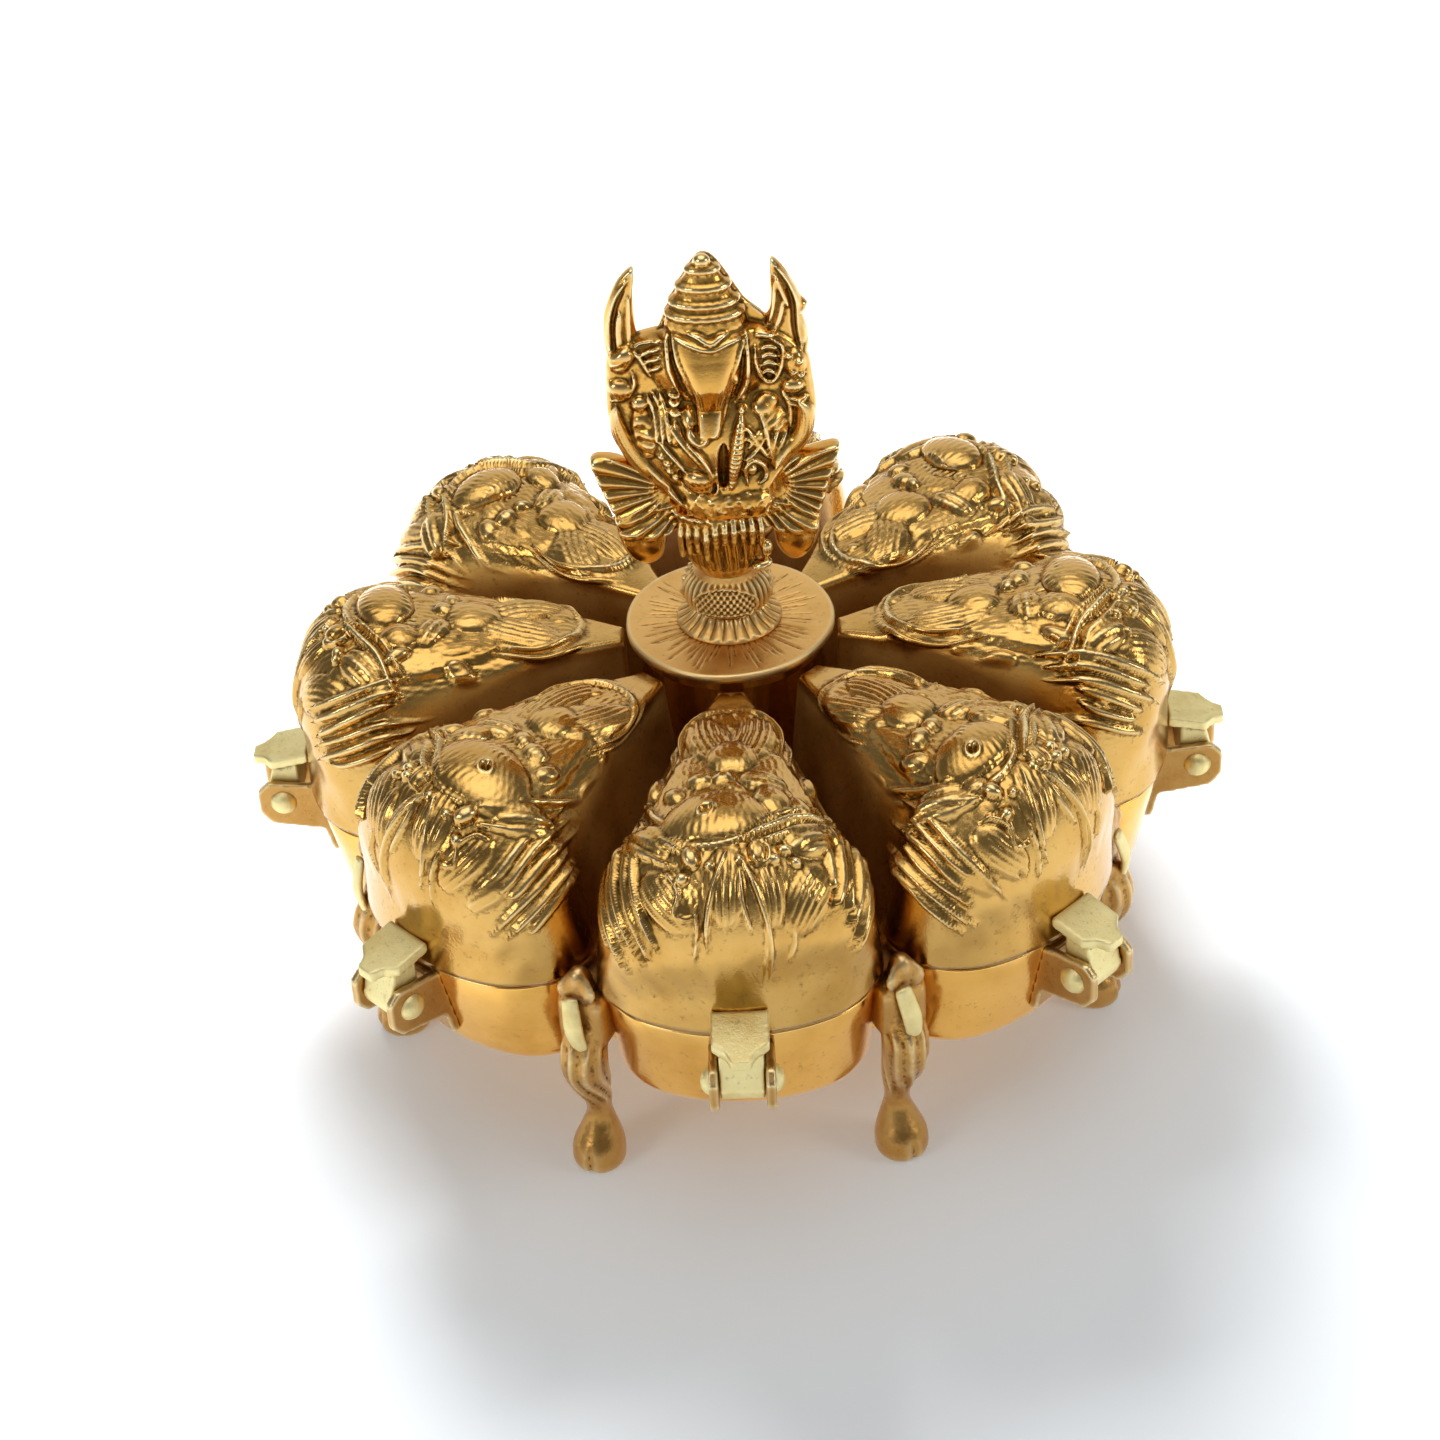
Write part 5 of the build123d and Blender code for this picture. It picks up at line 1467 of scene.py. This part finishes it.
class KUMKUM_OT_stage(bpy.types.Operator):
    """Sets up the pale floor, the soft light and the camera at the photograph's angle"""
    bl_idname = "kumkum.stage"
    bl_label = "Stage"

    def execute(self, context):
        _, colours = settings(context)
        self.floor(tuple(colours.floor))
        self.world()
        self.lamps()
        self.camera()
        context.scene.view_settings.view_transform = "Standard"
        return {"FINISHED"}

    def floor(self, colour):
        """Table top whose own light shows only to the camera and in reflections."""
        corners = [(x * FLOOR_HALF, y * FLOOR_HALF, 0)
                   for x, y in ((-1, -1), (1, -1), (1, 1), (-1, 1))]
        mesh = bpy.data.meshes.new("table_top")
        mesh.from_pydata(corners, [], [(0, 1, 2, 3)])
        table = bpy.data.objects.new("table_top", mesh)
        bpy.context.scene.collection.objects.link(table)
        material = bpy.data.materials.new("pale_table")
        material.use_nodes = True
        tree = material.node_tree
        tree.nodes.clear()
        path = add_node(tree, "ShaderNodeLightPath").outputs
        seen = add_node(tree, "ShaderNodeMath", {
            0: path["Is Camera Ray"], 1: path["Is Transmission Ray"]},
            operation="MAXIMUM").outputs[0]
        lift = add_node(tree, "ShaderNodeMath", {0: seen, 1: SEEN_LIFT},
                        operation="MULTIPLY").outputs[0]
        lift = add_node(tree, "ShaderNodeMath", {
            0: path["Is Glossy Ray"], 1: MIRRORED_LIFT, 2: lift},
            operation="MULTIPLY_ADD").outputs[0]
        matt = add_node(tree, "ShaderNodeBsdfDiffuse", {"Color": (*colour, 1)})
        glow = add_node(tree, "ShaderNodeEmission", {"Color": (1, 1, 1, 1), "Strength": lift})
        both = add_node(tree, "ShaderNodeAddShader", {0: matt.outputs[0], 1: glow.outputs[0]})
        add_node(tree, "ShaderNodeOutputMaterial", {"Surface": both.outputs[0]})
        mesh.materials.append(material)

    def world(self):
        """Studio walls: pale near the table, dimmer above it, with a bright top and a pale
        curtain behind. Metal mirrors them at full strength and the rest gets half."""
        world = bpy.data.worlds.new("studio")
        world.use_nodes = True
        tree = world.node_tree
        tree.nodes.clear()
        way = add_node(tree, "ShaderNodeTexCoord").outputs["Generated"]
        split = add_node(tree, "ShaderNodeSeparateXYZ", {"Vector": way}).outputs
        walls, curtain = (
            add_node(tree, "ShaderNodeValToRGB", {"Fac": split[axis]}, stops).outputs["Color"]
            for axis, stops in (("Z", WALL_STOPS), ("Y", CURTAIN_STOPS)))
        walls = add_node(tree, "ShaderNodeMath", {0: walls, 1: curtain},
                         operation="MAXIMUM").outputs[0]
        path = add_node(tree, "ShaderNodeLightPath").outputs
        strength = add_node(tree, "ShaderNodeMath", {0: path["Is Glossy Ray"], 1: 0.5, 2: 0.5},
                            operation="MULTIPLY_ADD").outputs[0]
        # The camera sees a white wall
        walls = add_node(tree, "ShaderNodeMath", {0: path["Is Camera Ray"], 1: 2.0, 2: walls},
                         operation="MULTIPLY_ADD").outputs[0]
        shade = add_node(tree, "ShaderNodeBackground", {"Color": walls, "Strength": strength})
        add_node(tree, "ShaderNodeOutputWorld", {"Surface": shade.outputs[0]})
        bpy.context.scene.world = world

    def lamps(self):
        """One large soft box behind on the left, and two smaller ones in front."""
        for name, place, size, power, mirrored in LAMPS:
            lamp = bpy.data.lights.new(name, "AREA")
            lamp.size = size
            lamp.energy = power
            box = bpy.data.objects.new(name, lamp)
            box.location = place
            box.visible_glossy = mirrored
            box.rotation_euler = (LAMP_AIM - Vector(place)).to_track_quat("-Z", "Y").to_euler()
            bpy.context.scene.collection.objects.link(box)

    def camera(self):
        """Camera from the photograph: target, distance, pitch, yaw and roll."""
        back = Vector((sin(CAMERA_YAW) * cos(CAMERA_PITCH), -cos(CAMERA_YAW) * cos(CAMERA_PITCH),
                       sin(CAMERA_PITCH)))
        right = Vector((cos(CAMERA_YAW), sin(CAMERA_YAW), 0))
        up = back.cross(right)
        side = cos(CAMERA_ROLL) * right + sin(CAMERA_ROLL) * up
        above = -sin(CAMERA_ROLL) * right + cos(CAMERA_ROLL) * up
        data = bpy.data.cameras.new("photo_camera")
        data.sensor_width = CAMERA_SENSOR
        data.lens = CAMERA_LENS
        camera = bpy.data.objects.new("photo_camera", data)
        turn = Matrix((side, above, back)).transposed().to_4x4()
        camera.matrix_world = Matrix.Translation(CAMERA_TARGET + back * CAMERA_DISTANCE) @ turn
        bpy.context.scene.collection.objects.link(camera)
        bpy.context.scene.camera = camera


class KUMKUM_PT_panel(bpy.types.Panel):
    """Sizes, colours and steps of the kumkum box"""
    bl_idname = "KUMKUM_PT_panel"
    bl_label = "Kumkum box"
    bl_space_type = "VIEW_3D"
    bl_region_type = "UI"
    bl_category = "Kumkum box"

    def draw(self, context):
        layout = self.layout
        for group in settings(context):
            for name in group.__annotations__:
                layout.prop(group, name)
        for operator in OPERATORS:
            layout.operator(operator.bl_idname)


OPERATORS = (KUMKUM_OT_stage, KUMKUM_OT_cups, KUMKUM_OT_lids, KUMKUM_OT_hinges, KUMKUM_OT_legs,
             KUMKUM_OT_middle, KUMKUM_OT_finial)
CLASSES = (KumkumBoxSizes, KumkumBoxColours) + OPERATORS + (KUMKUM_PT_panel,)


def register():
    """Registers the classes and hangs the settings on the scene."""
    for cls in CLASSES:
        bpy.utils.register_class(cls)
    bpy.types.Scene.kumkum_sizes = PointerProperty(type=KumkumBoxSizes)
    bpy.types.Scene.kumkum_colours = PointerProperty(type=KumkumBoxColours)


def unregister():
    """Takes the settings and the classes away again."""
    del bpy.types.Scene.kumkum_sizes
    del bpy.types.Scene.kumkum_colours
    for cls in reversed(CLASSES):
        bpy.utils.unregister_class(cls)


def main():
    """Registers the add-on and runs its operators in order."""
    register()
    for operator in OPERATORS:
        group, name = operator.bl_idname.split(".")
        getattr(getattr(bpy.ops, group), name)()


if __name__ == "__main__":
    main()
